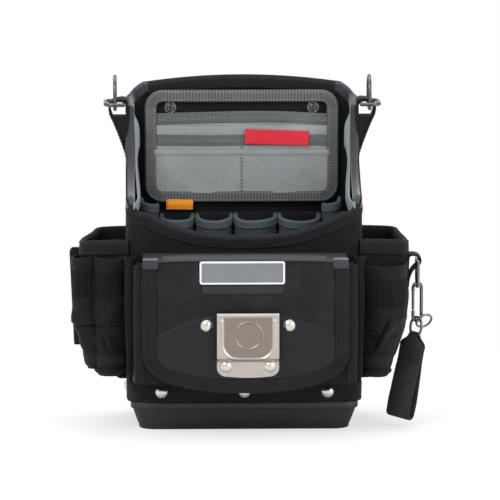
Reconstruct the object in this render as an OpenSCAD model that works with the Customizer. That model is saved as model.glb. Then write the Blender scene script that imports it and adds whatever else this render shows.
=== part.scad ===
// Electrician tool pouch with side pockets, front flap pouch, shoulder rings and a wrist strap.
// Millimetres, +Z up, front towards -Y, origin at the middle of the underside of the moulded base.

/* [Main bag] */
// Width of the bag over its side walls
body_w = 214; // [190:1:240]
// Depth of the bag over its front wall and back panel
body_d = 116; // [100:1:140]
// Thickness of the stiffened fabric walls
wall = 4; // [3:0.5:6]
// Height of the middle of the front rim
rim_z = 181; // [165:1:195]
// How much the front rim rises towards its corners
rim_rise = 34; // [24:1:40]
// How suddenly the front rim rises towards its corners
rim_curve = 2.6; // [2:0.1:4]
// Height of the shoulders of the back panel
shoulder_z = 300; // [290:1:310]
// How far the top corners of the back panel stand above its shoulders
corner_up = 11; // [8:1:14]
// How far the middle of the top edge stands above the shoulders
crown_up = 18; // [15:1:24]
// How far the top corners stand in from the sides
corner_in = 14; // [8:1:20]
// Width of the folded edge tape
tape_w = 8; // [6:0.5:9]
// Thickness of the edge tape
tape_t = 1.5; // [1:0.25:2]

/* [Base] */
// Height of the moulded base over its lip
base_h = 27; // [22:1:32]
// Height of the lip
lip_h = 6.5; // [4:0.5:8]
// How far the base tapers in at its foot on each side
base_taper = 8; // [4:0.5:12]
// Thickness of the base floor
base_floor = 4; // [3:0.5:6]
// Thickness of the stiff floor board
board_t = 3; // [2:0.5:5]
// Height of the sewn skirt band above the lip
skirt_h = 18; // [14:1:20]
// Thickness of the skirt band
skirt_t = 2; // [1:0.5:3]

/* [Back] */
// Thickness of the back padding
pad_t = 8; // [4:1:12]
// Width of the belt tunnel
tunnel_w = 110; // [80:1:140]
// Height of the belt tunnel
tunnel_h = 120; // [90:1:140]
// Clear depth for a belt inside the tunnel
belt_gap = 8; // [6:0.5:10]
// Thickness of the tunnel webbing
tunnel_t = 3; // [2:0.5:4]

/* [Tool panel] */
// Width of the inner tool panel
panel_w = 181; // [160:1:190]
// Height of the lower edge of the tool panel
panel_z = 200; // [197:1:204]
// Height of the upper edge of the tool panel
panel_top = 305; // [300:1:306]
// Corner radius of the tool panel
panel_r = 16; // [10:1:20]
// Thickness of the tool panel board
panel_t = 3; // [2:0.5:4]
// Width of the bound frame of the tool panel
frame_w = 10; // [8:0.5:11]
// Thickness of one slip pocket layer
layer_t = 1.5; // [1:0.25:2]
// Height of the tops of the three slip pockets
slip_tops = [283, 272, 249.5];

/* [Tool loops] */
// Middle of each tool loop across the bag
loop_x = [-87, -61, -26, 13, 54, 84.5];
// Outer radius of each tool loop
loop_r = [8.6, 15.6, 17.2, 20, 19.6, 8.6];
// Height of the tops of the tool loops
loop_top = 189; // [184:1:189]
// How far the two corner loops stand above the others
corner_loop_up = 10; // [0:1:10]
// Length of the tool loops
loop_h = 72; // [60:1:90]
// Thickness of the tool loops
loop_t = 2.5; // [2:0.25:3]

/* [Front pouch] */
// Width of the front pouch over its gussets
pouch_w = 202; // [190:1:210]
// Depth of the front pouch
pouch_d = 41; // [34:1:46]
// Height of the top of the front pouch
pouch_top = 160; // [150:1:162]
// Height of the underside of the front pouch
pouch_z = 50; // [46:1:54]
// Thickness of the pouch fabric
pouch_t = 3; // [2:0.5:4]

/* [Front flap] */
// Width of the flap
flap_w = 190; // [176:1:192]
// Height of the lowest point of the flap
flap_z = 41; // [38:1:46]
// Height where the lower curve of the flap begins
flap_curve_z = 78; // [70:1:84]
// Thickness of the flap
flap_t = 3.5; // [3:0.5:4]
// Width of the flap binding
flap_tape_w = 13; // [10:0.5:15]
// Height of the hinge seam of the flap
hinge_z = 164.5; // [164:0.5:168]
// Height of the top of the smooth reinforcement
patch_z = 115; // [105:1:120]
// Thickness of the reinforcement and of the labels
patch_t = 1; // [0.5:0.25:1.5]

/* [Labels] */
// Width of the badge on the flap
badge_w = 78; // [60:1:90]
// Height of the badge on the flap
badge_h = 16.5; // [12:0.5:18]
// Width of the rubber strip under the badge
strip_w = 75; // [60:1:90]
// Height of the rubber strip
strip_h = 8; // [6:0.5:10]
// Width of the woven label on the tool panel
label_w = 60; // [40:1:70]
// Height of the woven label
label_h = 14; // [10:0.5:16]
// Width of the small tag
tag_w = 25; // [16:1:30]
// Height of the small tag
tag_h = 14; // [10:0.5:16]

/* [Tape clip] */
// Width of the tape clip
clip_w = 57; // [50:1:62]
// Height of the lower edge of the tape clip
clip_z = 57; // [55:1:62]
// Height of the tape clip
clip_h = 60; // [55:1:63]
// Thickness of the clip plate
clip_t = 1; // [0.8:0.1:1.5]
// How far the clip stands off for a tape measure
clip_gap = 5; // [4.5:0.5:6]
// Place of the clip across the flap
clip_x = 2; // [-5:0.5:5]

/* [Side pockets] */
// How far the side pockets stand out from the bag
side_out = 44; // [38:1:48]
// Depth of the side pockets from front to back
side_d = 97; // [85:1:100]
// Height of the side pocket rims
side_top = 177; // [170:1:180]
// Height of the side pocket floors
side_z = 50; // [47:1:56]
// How far the side pockets taper in at the foot
side_taper = 20; // [10:1:24]
// Thickness of the side pocket fabric
side_t = 3; // [2:0.5:4]
// Height of the hem bands
hem_h = 13; // [10:1:15]
// Height of the rims of the lower side pockets
lower_top = 163; // [155:1:163]
// Thickness of the lower side pockets
tube_t = 2.5; // [2:0.25:3]
// Outer radius of the left front tube pocket
tube_r = 13.5; // [12:0.5:14]
// Outer radius of the left corner tube pocket
corner_r = 10; // [9:0.5:10.5]
// Outer radius of the right lower pocket
wide_r = 20.5; // [18:0.5:21]
// Outer radius of the screwdriver sleeves
sleeve_r = 5; // [4.5:0.25:5]
// Thickness of the screwdriver sleeves
sleeve_t = 1.25; // [1:0.25:1.5]

/* [Rings and strap] */
// Width of the webbing
web_w = 25; // [20:1:26]
// Radius of the ring wire
wire_r = 1.75; // [1.5:0.25:2]
// Half width of the upright shoulder rings to the middle of the wire
ring_half = 15; // [14.6:0.2:16]
// Radius of the small ring wire
small_wire = 1.25; // [1:0.05:1.4]
// Radius of the strap ring to the middle of the wire
strap_ring_r = 9; // [8.5:0.5:10]
// Length of the wrist strap
strap_len = 78; // [60:1:79]
// Thickness of the strap webbing
strap_t = 2; // [1.5:0.25:2.5]
// Gap between the two layers of the wrist strap
strap_gap = 9; // [8:0.5:12]
// Lean of the wrist strap towards the bag in degrees
strap_lean = 10; // [0:1:12]

/* [Fits] */
// Clearance around rivet shanks
shank_gap = 0.15; // [0.1:0.05:0.3]
// Clearance between pieces that move past each other
run_gap = 0.3; // [0.2:0.05:0.5]

/* [Hidden] */

// Main bag faces
half_w = body_w/2;
inner_w = half_w - wall;
front_y = -body_d/2;
back_y = body_d/2;
inner_front = front_y + wall;
inner_back = back_y - wall;

// Base
tray_w = half_w - 1.5;
tray_d = body_d/2 + 2.5;
well_w = tray_w - 11;
well_d = tray_d - 9;
rivet_z = base_h + skirt_h/2;
base_rivet_x = [-77, 0, 77];
side_rivet_y = -15;

// Rivets
cap_r = 5.6;
cap_h = 2.6;
shank_r = 2;
ring_r = 5.9;

// Tool panel layers, from the back panel forwards
board_y = inner_back - panel_t;
frame_t = 3*layer_t;
corner_z = shoulder_z + corner_up;
top_z = shoulder_z + crown_up;
panel_half = panel_w/2;
window_half = panel_half - frame_w;
panel_rivet_x = panel_half - 23.5;
panel_rivet_z = panel_top - panel_r;
lining_rivet = [34, 234];
label_x = panel_half - 57.5;
label_z = slip_tops[1] - 11;
tag_x = 19.5 - panel_half;

// Front pouch and flap
sleeve_foot = side_z - 4;
wide_top = lower_top - 7;
pouch_half = pouch_w/2;
pouch_front = front_y - pouch_d;
hinge_y = front_y - 4.5;
flap_half = flap_w/2;
flap_back = pouch_front - run_gap;
flap_front = flap_back - flap_t;
patch_front = flap_front - patch_t;
flap_curve = 2.1;
clip_rivet_x = 20;
clip_rivet_z = clip_z + 10.5;
badge_x = clip_x - 1;
badge_top = hinge_z - 4.5;
strip_top = badge_top - badge_h - 1;
flap_rivet_x = 38;
flap_rivet_z = 105;

// Side pockets
side_back = 44;
side_front = side_back - side_d;
side_x = half_w + side_out;
taper_z = side_z + 45;
tube_x = -half_w - 4 - tube_r;
sleeve_x = half_w - 1;
sleeve_y = front_y - sleeve_r - 0.2;
wide_x = half_w + 2 + wide_r;

// Shoulder rings
tab_y = 35;
tab_foot_z = 247;
bar_z = 291;
flat_z = bar_z + 4.2;
upright_x = half_w + 12;
flat_x = half_w + wire_r + run_gap + 2;
upright_leg = 14;
flat_half = ring_half + 2*wire_r + 0.8;
flat_reach = 17;
flat_corner = 7;

// Hanging carry set at the right pocket
carry_y = -35;
carry_x = side_x + 10;
carry_z = 156;
carry_half = 13;
carry_leg = 12.5;
carry_wire = small_wire + 0.25;
hook_turn = 30;
hook_half = 4.6;
hook_wire = 1.6;
hook_leg = 26;
gate_leg = 17;
gate_r = hook_wire - 0.3;
gate_top = -3 - run_gap;
gate_foot = gate_top - gate_leg;
ring_foot = carry_z - carry_leg - carry_half;
hook_top = ring_foot + carry_wire + hook_wire + run_gap;
hook_foot = hook_top - hook_leg - 2*hook_half;
strap_ring_turn = -60;
strap_ring_lift = hook_wire + small_wire + run_gap;
strap_turn = 25;
neck_w = 8;
spare_r = 7.5;
spare_wire = small_wire - 0.2;
spare_side = 60;
spare_fall = 12;

// Outlines
function arc(x, z, r, a0, a1, n = 6) =
  [for (i = [0:n]) let (a = a0 + (a1 - a0)*i/n) [x + r*cos(a), z + r*sin(a)]];
function rounded(x0, z0, x1, z1, r) =
  concat(arc(x1 - r, z1 - r, r, 0, 90), arc(x0 + r, z1 - r, r, 90, 180),
         arc(x0 + r, z0 + r, r, 180, 270), arc(x1 - r, z0 + r, r, 270, 360));
function rim_height(x) = rim_z + rim_rise*pow(abs(x)/half_w, rim_curve);
function rim_line(reach, lift) =
  [for (i = [-12:12]) let (x = reach*i/12) [x, rim_height(x) + lift]];
function backwards(list) = [for (i = [len(list)-1:-1:0]) list[i]];
function bezier(p, t) =
  pow(1-t, 3)*p[0] + 3*t*pow(1-t, 2)*p[1] + 3*t*t*(1-t)*p[2] + t*t*t*p[3];
// Free front edge of a side wall as [y, z], from the front rim up to the shoulder
side_points = [[inner_front, rim_height(half_w)], [-10, rim_height(half_w) + 4], [20, rim_z + 60], [30, shoulder_z - 8]];
function side_edge(shift) =
  concat([for (i = [0:14]) bezier(side_points, i/14) + shift], [[inner_back, shoulder_z] + shift]);
// Outline of the back panel as [x, z], drawn in by a margin
function top_line(margin) =
  [for (i = [-8:8]) let (k = i/8) [k*(half_w - corner_in - margin*0.7),
    corner_z - margin*0.9 + (top_z - corner_z)*(1 - k*k)]];
function back_outline(margin, foot) =
  concat([[half_w - margin, foot], [half_w - margin, shoulder_z - margin*0.6]],
         backwards(top_line(margin)),
         [[margin - half_w, shoulder_z - margin*0.6], [margin - half_w, foot]]);
// Lower curve of the flap as [x, z], drawn in by a margin
function flap_line(margin) =
  [for (i = [-14:14]) let (k = sin(90*i/14), reach = flap_half - margin)
    [k*reach, flap_curve_z - (flap_curve_z - flap_z - margin)*pow(1 - pow(abs(k), flap_curve), 1/flap_curve)]];
function flap_outline(margin, top) =
  concat(flap_line(margin), [[flap_half - margin, top], [margin - flap_half, top]]);

// Draws an outline given as [x, z] and gives it a thickness from y0 towards +Y
module wall_xz(y0, t) {
  translate([0, y0 + t, 0]) rotate([90, 0, 0]) linear_extrude(t) children();
}
// Draws an outline given as [y, z] and gives it a thickness from x0 towards +X
module wall_yz(x0, t) {
  translate([x0, 0, 0]) rotate([90, 0, 90]) linear_extrude(t) children();
}
module block(low, high) {
  translate(low) cube(high - low);
}
module both_sides() {
  children();
  mirror([1, 0, 0]) children();
}
module at_base_rivets() {
  for (x = base_rivet_x) translate([x, front_y - skirt_t, rivet_z]) rotate([90, 0, 0]) children();
  both_sides() translate([half_w + skirt_t, side_rivet_y, rivet_z]) rotate([0, 90, 0]) children();
}
module at_panel_rivets() {
  both_sides() translate([panel_rivet_x, board_y, panel_rivet_z]) rotate([90, 0, 0]) children();
}
module at_lining_rivets() {
  both_sides() translate([inner_w - tape_t, lining_rivet[0], lining_rivet[1]]) rotate([0, -90, 0]) children();
}
module at_clip_rivets() {
  for (side = [-1, 1]) translate([clip_x + side*clip_rivet_x, patch_front - clip_t, clip_rivet_z])
    rotate([90, 0, 0]) children();
}
module at_flap_rivets() {
  for (side = [-1, 1]) translate([clip_x + side*flap_rivet_x, patch_front, flap_rivet_z])
    rotate([90, 0, 0]) children();
}
// Domed rivet standing on z = 0, its shank reaching down by grip
module rivet(grip) {
  dome_r = (cap_r*cap_r + cap_h*cap_h)/(2*cap_h);
  translate([0, 0, -grip]) cylinder(h = grip + 0.5, r = shank_r, $fn = 24);
  intersection() {
    translate([0, 0, cap_h - dome_r]) sphere(r = dome_r, $fn = 48);
    cylinder(h = cap_h + 1, r = cap_r, $fn = 32);
  }
}
module rivet_hole(grip) {
  translate([0, 0, -grip - 1]) cylinder(h = grip + 2, r = shank_r + shank_gap, $fn = 24);
}

// Moulded base
module tray_block(w, d, h, r) {
  hull() for (x = [-1, 1], y = [-1, 1]) translate([x*(w - r), y*(d - r), 0]) cylinder(h = h, r = r, $fn = 32);
}
module base_tray() {
  foot = 5;
  color("dimgray") difference() {
    union() {
      hull() {
        tray_block(tray_w - base_taper, tray_d - base_taper, foot, 16);
        translate([0, 0, base_h - lip_h - 1]) tray_block(tray_w - 2, tray_d - 2, 1, 12);
      }
      translate([0, 0, base_h - lip_h]) tray_block(tray_w, tray_d, lip_h, 12);
    }
    block([-well_w, -well_d, base_floor], [well_w, well_d, base_h + 1]);
  }
}
module floor_board() {
  color("black") block([-well_w + run_gap, -well_d + run_gap, base_floor],
    [well_w - run_gap, well_d - run_gap, base_floor + board_t]);
}
module base_skirt() {
  out = half_w + skirt_t;
  deep = body_d/2 + skirt_t;
  color("#2b2b2e") difference() {
    block([-out, -deep, base_h], [out, deep, base_h + skirt_h]);
    block([-half_w, front_y, base_h - 1], [half_w, back_y, base_h + skirt_h + 1]);
    at_base_rivets() rivet_hole(skirt_t);
  }
}
module base_rivets() {
  color("silver") at_base_rivets() rivet(skirt_t + wall);
}

// Main bag walls
module front_sheet() {
  polygon(concat([[half_w, base_h], [half_w, rim_height(half_w)]], backwards(rim_line(half_w, 0)),
    [[-half_w, base_h]]));
}
module front_wall() {
  color("#303034") difference() {
    wall_xz(front_y, wall) front_sheet();
    at_base_rivets() rivet_hole(skirt_t + wall);
  }
}
module side_sheet(shift) {
  polygon(concat([[inner_back, base_h], [inner_front, base_h]], side_edge(shift)));
}
module side_wall() {
  difference() {
    wall_yz(inner_w, wall) side_sheet([0, 0]);
    at_base_rivets() rivet_hole(skirt_t + wall);
    at_lining_rivets() rivet_hole(tape_t + wall);
  }
}
module right_side_wall() {
  color("#303034") side_wall();
}
module left_side_wall() {
  color("#303034") mirror([1, 0, 0]) side_wall();
}
module back_panel() {
  color("#303034") difference() {
    wall_xz(inner_back, wall) polygon(back_outline(0, base_h));
    at_panel_rivets() rivet_hole(panel_t + wall);
  }
}
module back_pad() {
  color("#26262a") wall_xz(back_y, pad_t) polygon(rounded(8 - half_w, base_h + skirt_h + 4, half_w - 8, shoulder_z - 4, 20));
}
module belt_tunnel() {
  pad_y = back_y + pad_t;
  z0 = (shoulder_z + base_h)/2 - tunnel_h/2 + 10;
  seam = 14;
  color("#1e1e20") wall_yz(-tunnel_w/2, tunnel_w) polygon([
    [pad_y, z0], [pad_y + tunnel_t, z0], [pad_y + belt_gap + tunnel_t, z0 + seam],
    [pad_y + belt_gap + tunnel_t, z0 + tunnel_h - seam], [pad_y + tunnel_t, z0 + tunnel_h],
    [pad_y, z0 + tunnel_h], [pad_y, z0 + tunnel_h - seam], [pad_y + belt_gap, z0 + tunnel_h - 1.6*seam],
    [pad_y + belt_gap, z0 + 1.6*seam], [pad_y, z0 + seam]]);
}

// Bound edges
module rim_binding() {
  reach = half_w;
  color("#45454b") difference() {
    union() {
      wall_xz(front_y - tape_t, wall + tape_t) polygon(concat(rim_line(reach, -tape_w - 3),
        backwards(rim_line(reach, tape_t))));
      intersection() {
        wall_xz(inner_front - 0.5, tape_t + 0.5) polygon(concat(rim_line(reach, -tape_w - 3),
          backwards(rim_line(reach, tape_t))));
        block([-inner_w + 2*tape_t, front_y, 0], [inner_w - 2*tape_t, back_y, top_z]);
      }
    }
    wall_xz(front_y, wall) front_sheet();
  }
}
module side_tape() {
  intersection() {
    wall_yz(inner_w - tape_t, wall + 2*tape_t)
      polygon(concat(side_edge([-0.7*tape_t, 0.7*tape_t]), backwards(side_edge([0.8*tape_w, -0.8*tape_w]))));
    block([0, inner_front, 0], [body_w, inner_back, shoulder_z + 1]);
  }
}
module side_bindings() {
  color("#55535c") both_sides() difference() {
    side_tape();
    wall_yz(inner_w, wall) side_sheet([0, 0]);
  }
}
module top_binding() {
  color("#303034") intersection() {
    difference() {
      wall_xz(inner_back - tape_t, wall + 2*tape_t) polygon(back_outline(-tape_t, shoulder_z - 30));
      wall_xz(inner_back - tape_t - 1, wall + 2*tape_t + 2) polygon(back_outline(tape_w, shoulder_z - 31));
      wall_xz(inner_back, wall) polygon(back_outline(0, base_h));
    }
    block([-half_w - 5, 0, shoulder_z + 2], [half_w + 5, 2*back_y, top_z + 5]);
  }
}

// Linings
module side_linings() {
  color("#aab4b6") both_sides() difference() {
    wall_yz(inner_w - tape_t, tape_t) intersection() {
      side_sheet([0.8*tape_w, -0.8*tape_w]);
      translate([inner_front, base_h]) square([inner_back - inner_front, shoulder_z - 2*tape_w - base_h]);
    }
    at_lining_rivets() rivet_hole(tape_t);
  }
}
module lining_rivets() {
  color("#77736a") at_lining_rivets() rivet(tape_t + wall);
}

// Tool panel
module panel_outline(margin) {
  polygon(rounded(margin - panel_half, panel_z + margin, panel_half - margin, panel_top - margin,
    max(panel_r - margin, 2)));
}
module tool_panel() {
  color("#2c2c30") difference() {
    wall_xz(board_y, panel_t) panel_outline(0);
    at_panel_rivets() rivet_hole(panel_t);
  }
}
module panel_frame() {
  color("#57585c") wall_xz(board_y - frame_t, frame_t) difference() {
    panel_outline(0);
    panel_outline(frame_w);
  }
}
module slip_sheet(layer) {
  foot = panel_z + frame_w;
  corner = panel_r - frame_w;
  color("#8f9290") wall_xz(board_y - layer*layer_t, layer_t)
    polygon(concat(arc(corner - window_half, foot + corner, corner, 180, 270),
      arc(window_half - corner, foot + corner, corner, 270, 360),
      [[window_half, slip_tops[layer - 1]], [-window_half, slip_tops[layer - 1]]]));
}
module slip_pocket_high() {
  slip_sheet(1);
}
module slip_pocket_middle() {
  slip_sheet(2);
}
module slip_pocket_low() {
  slip_sheet(3);
}
module panel_rivets() {
  color("#8a8374") at_panel_rivets() {
    rivet(panel_t + wall);
    difference() {
      cylinder(h = 1, r = ring_r, $fn = 32);
      translate([0, 0, -1]) cylinder(h = 3, r = cap_r - 1, $fn = 32);
    }
  }
}
module fabric_label() {
  color("#c8333f") wall_xz(board_y - 2*layer_t - patch_t, patch_t) translate([label_x, label_z])
    rotate(-2) square([label_w, label_h], center = true);
}
module small_tag() {
  color("#e8932c") wall_xz(board_y - frame_t - patch_t, patch_t) translate([tag_x, panel_z - tag_h/2]) square([tag_w, tag_h]);
}

// Tool loops
module loop_strip() {
  color("#3a4347") wall_xz(inner_back - wall, wall)
    translate([-inner_w + 2*tape_t, loop_top - loop_h]) square([2*inner_w - 4*tape_t, loop_h]);
}
module tool_loop(i, up = 0) {
  tall = loop_h + up;
  color("#4d5558") translate([loop_x[i], inner_back - wall, loop_top - loop_h]) difference() {
    cylinder(h = tall, r = loop_r[i], $fn = 48);
    translate([0, 0, -1]) cylinder(h = tall + 2, r = loop_r[i] - loop_t, $fn = 48);
    translate([-50, 0, -1]) cube([100, 50, tall + 2]);
  }
}
module corner_loops() {
  tool_loop(0, corner_loop_up);
  tool_loop(5, corner_loop_up);
}
module tool_loop_1() {
  tool_loop(1);
}
module tool_loop_2() {
  tool_loop(2);
}
module tool_loop_3() {
  tool_loop(3);
}
module tool_loop_4() {
  tool_loop(4);
}

// Front pouch
module pouch_face() {
  color("#2a2a2d") block([pouch_t - pouch_half, pouch_front, pouch_z],
    [pouch_half - pouch_t, pouch_front + pouch_t, pouch_top - 2]);
}
module pouch_gussets() {
  color("#39393e") both_sides() block([pouch_half - pouch_t, pouch_front, pouch_z], [pouch_half, front_y, pouch_top]);
}
module pouch_floor() {
  color("#2a2a2d") block([pouch_t - pouch_half, pouch_front + pouch_t, pouch_z],
    [pouch_half - pouch_t, front_y, pouch_z + pouch_t]);
}
module flap_seam() {
  color("#303034") block([-flap_half, hinge_y + flap_t/2 + run_gap, hinge_z - flap_t/2],
    [flap_half, front_y, hinge_z + flap_t/2]);
}

// Front flap
module front_flap() {
  top = hinge_z + flap_t/2;
  color("#38383c") difference() {
    union() {
      translate([-flap_half, hinge_y, hinge_z]) rotate([0, 90, 0]) cylinder(h = flap_w, r = flap_t/2, $fn = 32);
      intersection() {
        wall_yz(-flap_half, flap_w) polygon([[hinge_y, top], [flap_front + 6, top - 1],
          [flap_front, top - 5], [flap_front, flap_z - 1], [flap_back, flap_z - 1],
          [flap_back, top - 5], [flap_back + 2.5, top - flap_t - 1], [hinge_y, top - flap_t]]);
        wall_xz(flap_front - 1, pouch_d + 10) polygon(flap_outline(0, top + 1));
      }
    }
    at_clip_rivets() rivet_hole(clip_t + patch_t + flap_t);
    at_flap_rivets() rivet_hole(patch_t + flap_t);
  }
}
module flap_binding() {
  color("#4a4a50") wall_xz(patch_front, patch_t) difference() {
    polygon(flap_outline(0, hinge_z - 4));
    polygon(flap_outline(flap_tape_w, hinge_z + 4));
  }
}
module flap_patch() {
  inner = flap_half - flap_tape_w;
  color("#505054") difference() {
    wall_xz(patch_front, patch_t) intersection() {
      polygon(flap_outline(flap_tape_w, patch_z));
      polygon(concat([[inner, flap_z], [inner, patch_z - 19], [inner - 26, patch_z - 7], [30, patch_z]],
        [[-30, patch_z], [26 - inner, patch_z - 7], [-inner, patch_z - 19], [-inner, flap_z]]));
    }
    at_clip_rivets() rivet_hole(clip_t + patch_t);
    at_flap_rivets() rivet_hole(patch_t);
  }
}
module label_plate() {
  color("#c9c9c9") wall_xz(patch_front, patch_t) polygon(
    rounded(badge_x - badge_w/2, badge_top - badge_h, badge_x + badge_w/2, badge_top, 2));
}
module rubber_strip() {
  color("#242426") wall_xz(patch_front, patch_t) polygon(
    rounded(badge_x - strip_w/2, strip_top - strip_h, badge_x + strip_w/2, strip_top, 1.5));
}
module tape_clip() {
  flat = 17;
  step = 5;
  face = patch_front - clip_t;
  lift = face - clip_gap;
  top = clip_z + clip_h;
  color("#cfcac5") difference() {
    intersection() {
      wall_yz(clip_x - clip_w/2, clip_w) polygon([[face, clip_z], [face, clip_z + flat],
        [lift, clip_z + flat + step], [lift, top], [lift + clip_t, top], [lift + clip_t, clip_z + flat + step],
        [patch_front, clip_z + flat], [patch_front, clip_z]]);
      wall_xz(lift - 1, clip_gap + 5) polygon(concat(
        [for (i = [-10:10]) let (k = i/10) [clip_x + k*clip_w/2, clip_z + 8*pow(abs(k), 4)]],
        [[clip_x + clip_w/2, top], [clip_x - clip_w/2, top]]));
    }
    at_clip_rivets() rivet_hole(clip_t);
  }
}
module flap_rivets() {
  color("silver") {
    at_clip_rivets() rivet(clip_t + patch_t + flap_t);
    at_flap_rivets() rivet(patch_t + flap_t);
  }
}

// Side pockets
module pocket_profile(margin) {
  polygon([[half_w, side_z + margin], [side_x - side_taper - margin, side_z + margin],
    [side_x - margin - 2, taper_z], [side_x - margin, taper_z + 30],
    [side_x - margin, side_top + margin], [half_w, side_top + margin]]);
}
module side_bucket() {
  difference() {
    wall_xz(side_front, side_d) intersection() {
      pocket_profile(0);
      translate([half_w, side_z]) square([side_out + 1, side_top - side_z]);
    }
    wall_xz(side_front + side_t, side_d - 2*side_t) pocket_profile(side_t);
  }
}
module right_pocket() {
  color("#2c2c2f") side_bucket();
}
module left_pocket() {
  color("#2c2c2f") mirror([1, 0, 0]) side_bucket();
}
module hem_bands() {
  color("#4b4b50") both_sides() difference() {
    block([half_w, side_front - tape_t, side_top - hem_h], [side_x + tape_t, side_back, side_top]);
    block([half_w - 1, side_front, side_top - hem_h - 1], [side_x, side_back + 1, side_top + 1]);
  }
}
module left_rear_board() {
  foot = side_z + 15;
  top = side_top - 19;
  reach = side_x + 10;
  color("#2c2c2f") wall_xz(side_back, wall) polygon([[-half_w, foot], [4 - reach, foot],
    [-reach, top - 5], [1 - reach, top - 1], [4 - reach, top], [-half_w, top]]);
}
module tube(x, y, r, t, z0, z1) {
  difference() {
    translate([x, y, z0]) cylinder(h = z1 - z0, r = r, $fn = 48);
    translate([x, y, z0 + side_t]) cylinder(h = z1 - z0, r = r - t, $fn = 48);
  }
}
module left_tubes() {
  foot = side_z + 2;
  corner_x = -side_x + 2;
  color("#353539") difference() {
    union() {
      tube(tube_x, side_front, tube_r, tube_t, foot, lower_top);
      tube(corner_x, side_front + 3, corner_r, tube_t, taper_z - 5, lower_top);
    }
    block([-side_x, side_front, 0], [0, side_back, top_z]);
  }
}
module driver_sleeves() {
  color("#353539") both_sides() tube(sleeve_x, sleeve_y, sleeve_r, sleeve_t, sleeve_foot, lower_top);
}
module right_lower_pocket() {
  color("#353539") difference() {
    tube(wide_x, side_front, wide_r, tube_t, side_z, wide_top);
    block([0, side_front, 0], [body_w, side_back, top_z]);
  }
}

// Shoulder webbing and rings
module shoulder_tabs() {
  outer = upright_x + 5.5;
  fit = wire_r + run_gap;
  color("#232326") both_sides() difference() {
    wall_xz(tab_y - web_w/2, web_w) polygon([[half_w, tab_foot_z], [half_w + 2, tab_foot_z - 2],
      [outer, bar_z - 10], [outer + 0.5, bar_z + 1], [outer - 3, flat_z + 4], [half_w, flat_z + 4]]);
    wall_xz(tab_y - web_w/2 - 1, web_w + 2)
      polygon(rounded(flat_x - fit, bar_z - fit, upright_x + fit, flat_z + fit, fit));
    side_tape();
  }
}
// Closed wire ring with its bar along X at the origin, hanging down by reach
module wire_ring(half, reach, corner, wire) {
  rotate([0, 90, 0]) translate([0, 0, -half]) cylinder(h = 2*half, r = wire, $fn = 24);
  if (half > corner)
    translate([0, 0, -reach]) rotate([0, 90, 0]) translate([0, 0, corner - half])
      cylinder(h = 2*(half - corner), r = wire, $fn = 24);
  for (side = [-1, 1]) {
    translate([side*half, 0, corner - reach]) cylinder(h = reach - corner, r = wire, $fn = 24);
    translate([side*half, 0, 0]) sphere(r = wire, $fn = 24);
    translate([side*(half - corner), 0, corner - reach]) rotate([-90, 0, 0]) rotate([0, 0, side > 0 ? 0 : 90])
      rotate_extrude(angle = 90, $fn = 48) translate([corner, 0]) circle(r = wire, $fn = 24);
  }
}
module upright_ring() {
  color("#6a6a6e") translate([upright_x, tab_y, bar_z]) rotate([0, 180, 90])
    wire_ring(ring_half, upright_leg + ring_half, ring_half, wire_r);
}
module flat_ring() {
  color("#6a6a6e") translate([flat_x, tab_y, flat_z]) rotate([0, -90, 0]) rotate([0, 0, 90])
    wire_ring(flat_half, flat_reach, flat_corner, wire_r);
}
module right_upright_ring() {
  upright_ring();
}
module left_upright_ring() {
  mirror([1, 0, 0]) upright_ring();
}
module right_flat_ring() {
  flat_ring();
}
module left_flat_ring() {
  mirror([1, 0, 0]) flat_ring();
}

// Hanging carry set
module ring_tab() {
  bore = carry_wire + run_gap;
  color("#232326") difference() {
    wall_xz(carry_y - web_w/2 + 2, web_w - 4) polygon([[side_x, carry_z - 24], [side_x + 2, carry_z - 24],
      [carry_x + bore + 1.5, carry_z - 4], [carry_x + bore + 1.5, carry_z + 3], [side_x, carry_z + 6]]);
    translate([carry_x, carry_y, carry_z]) rotate([90, 0, 0]) cylinder(h = 2*web_w, r = bore, center = true, $fn = 24);
  }
}
module pocket_ring() {
  color("#8c8c90") translate([carry_x, carry_y, carry_z]) rotate([0, 0, 90])
    wire_ring(carry_half, carry_leg + carry_half, carry_half, carry_wire);
}
module at_hook() {
  translate([carry_x, carry_y, hook_top - hook_half]) rotate([0, 0, hook_turn]) children();
}
module half_loop(half, wire) {
  rotate([90, 0, 0]) rotate_extrude(angle = 180, $fn = 48) translate([half, 0]) circle(r = wire, $fn = 24);
}
module snap_hook() {
  stub = hook_leg + gate_foot - run_gap;
  color("#a5a5aa") at_hook() {
    half_loop(hook_half, hook_wire);
    translate([hook_half, 0, -hook_leg]) cylinder(h = hook_leg, r = hook_wire, $fn = 24);
    translate([0, 0, -hook_leg]) mirror([0, 0, 1]) half_loop(hook_half, hook_wire);
    translate([-hook_half, 0, gate_top + run_gap]) cylinder(h = -gate_top - run_gap, r = hook_wire, $fn = 24);
    translate([-hook_half, 0, -hook_leg]) cylinder(h = stub, r = hook_wire, $fn = 24);
  }
}
module hook_gate() {
  color("#c0c0c4") at_hook() translate([-hook_half, 0, gate_foot + gate_r]) {
    cylinder(h = gate_leg - gate_r, r = gate_r, $fn = 24);
    sphere(r = gate_r, $fn = 24);
  }
}
module ring_loop(r, wire) {
  rotate([90, 0, 0]) rotate_extrude($fn = 64) translate([r, 0]) circle(r = wire, $fn = 24);
}
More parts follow.
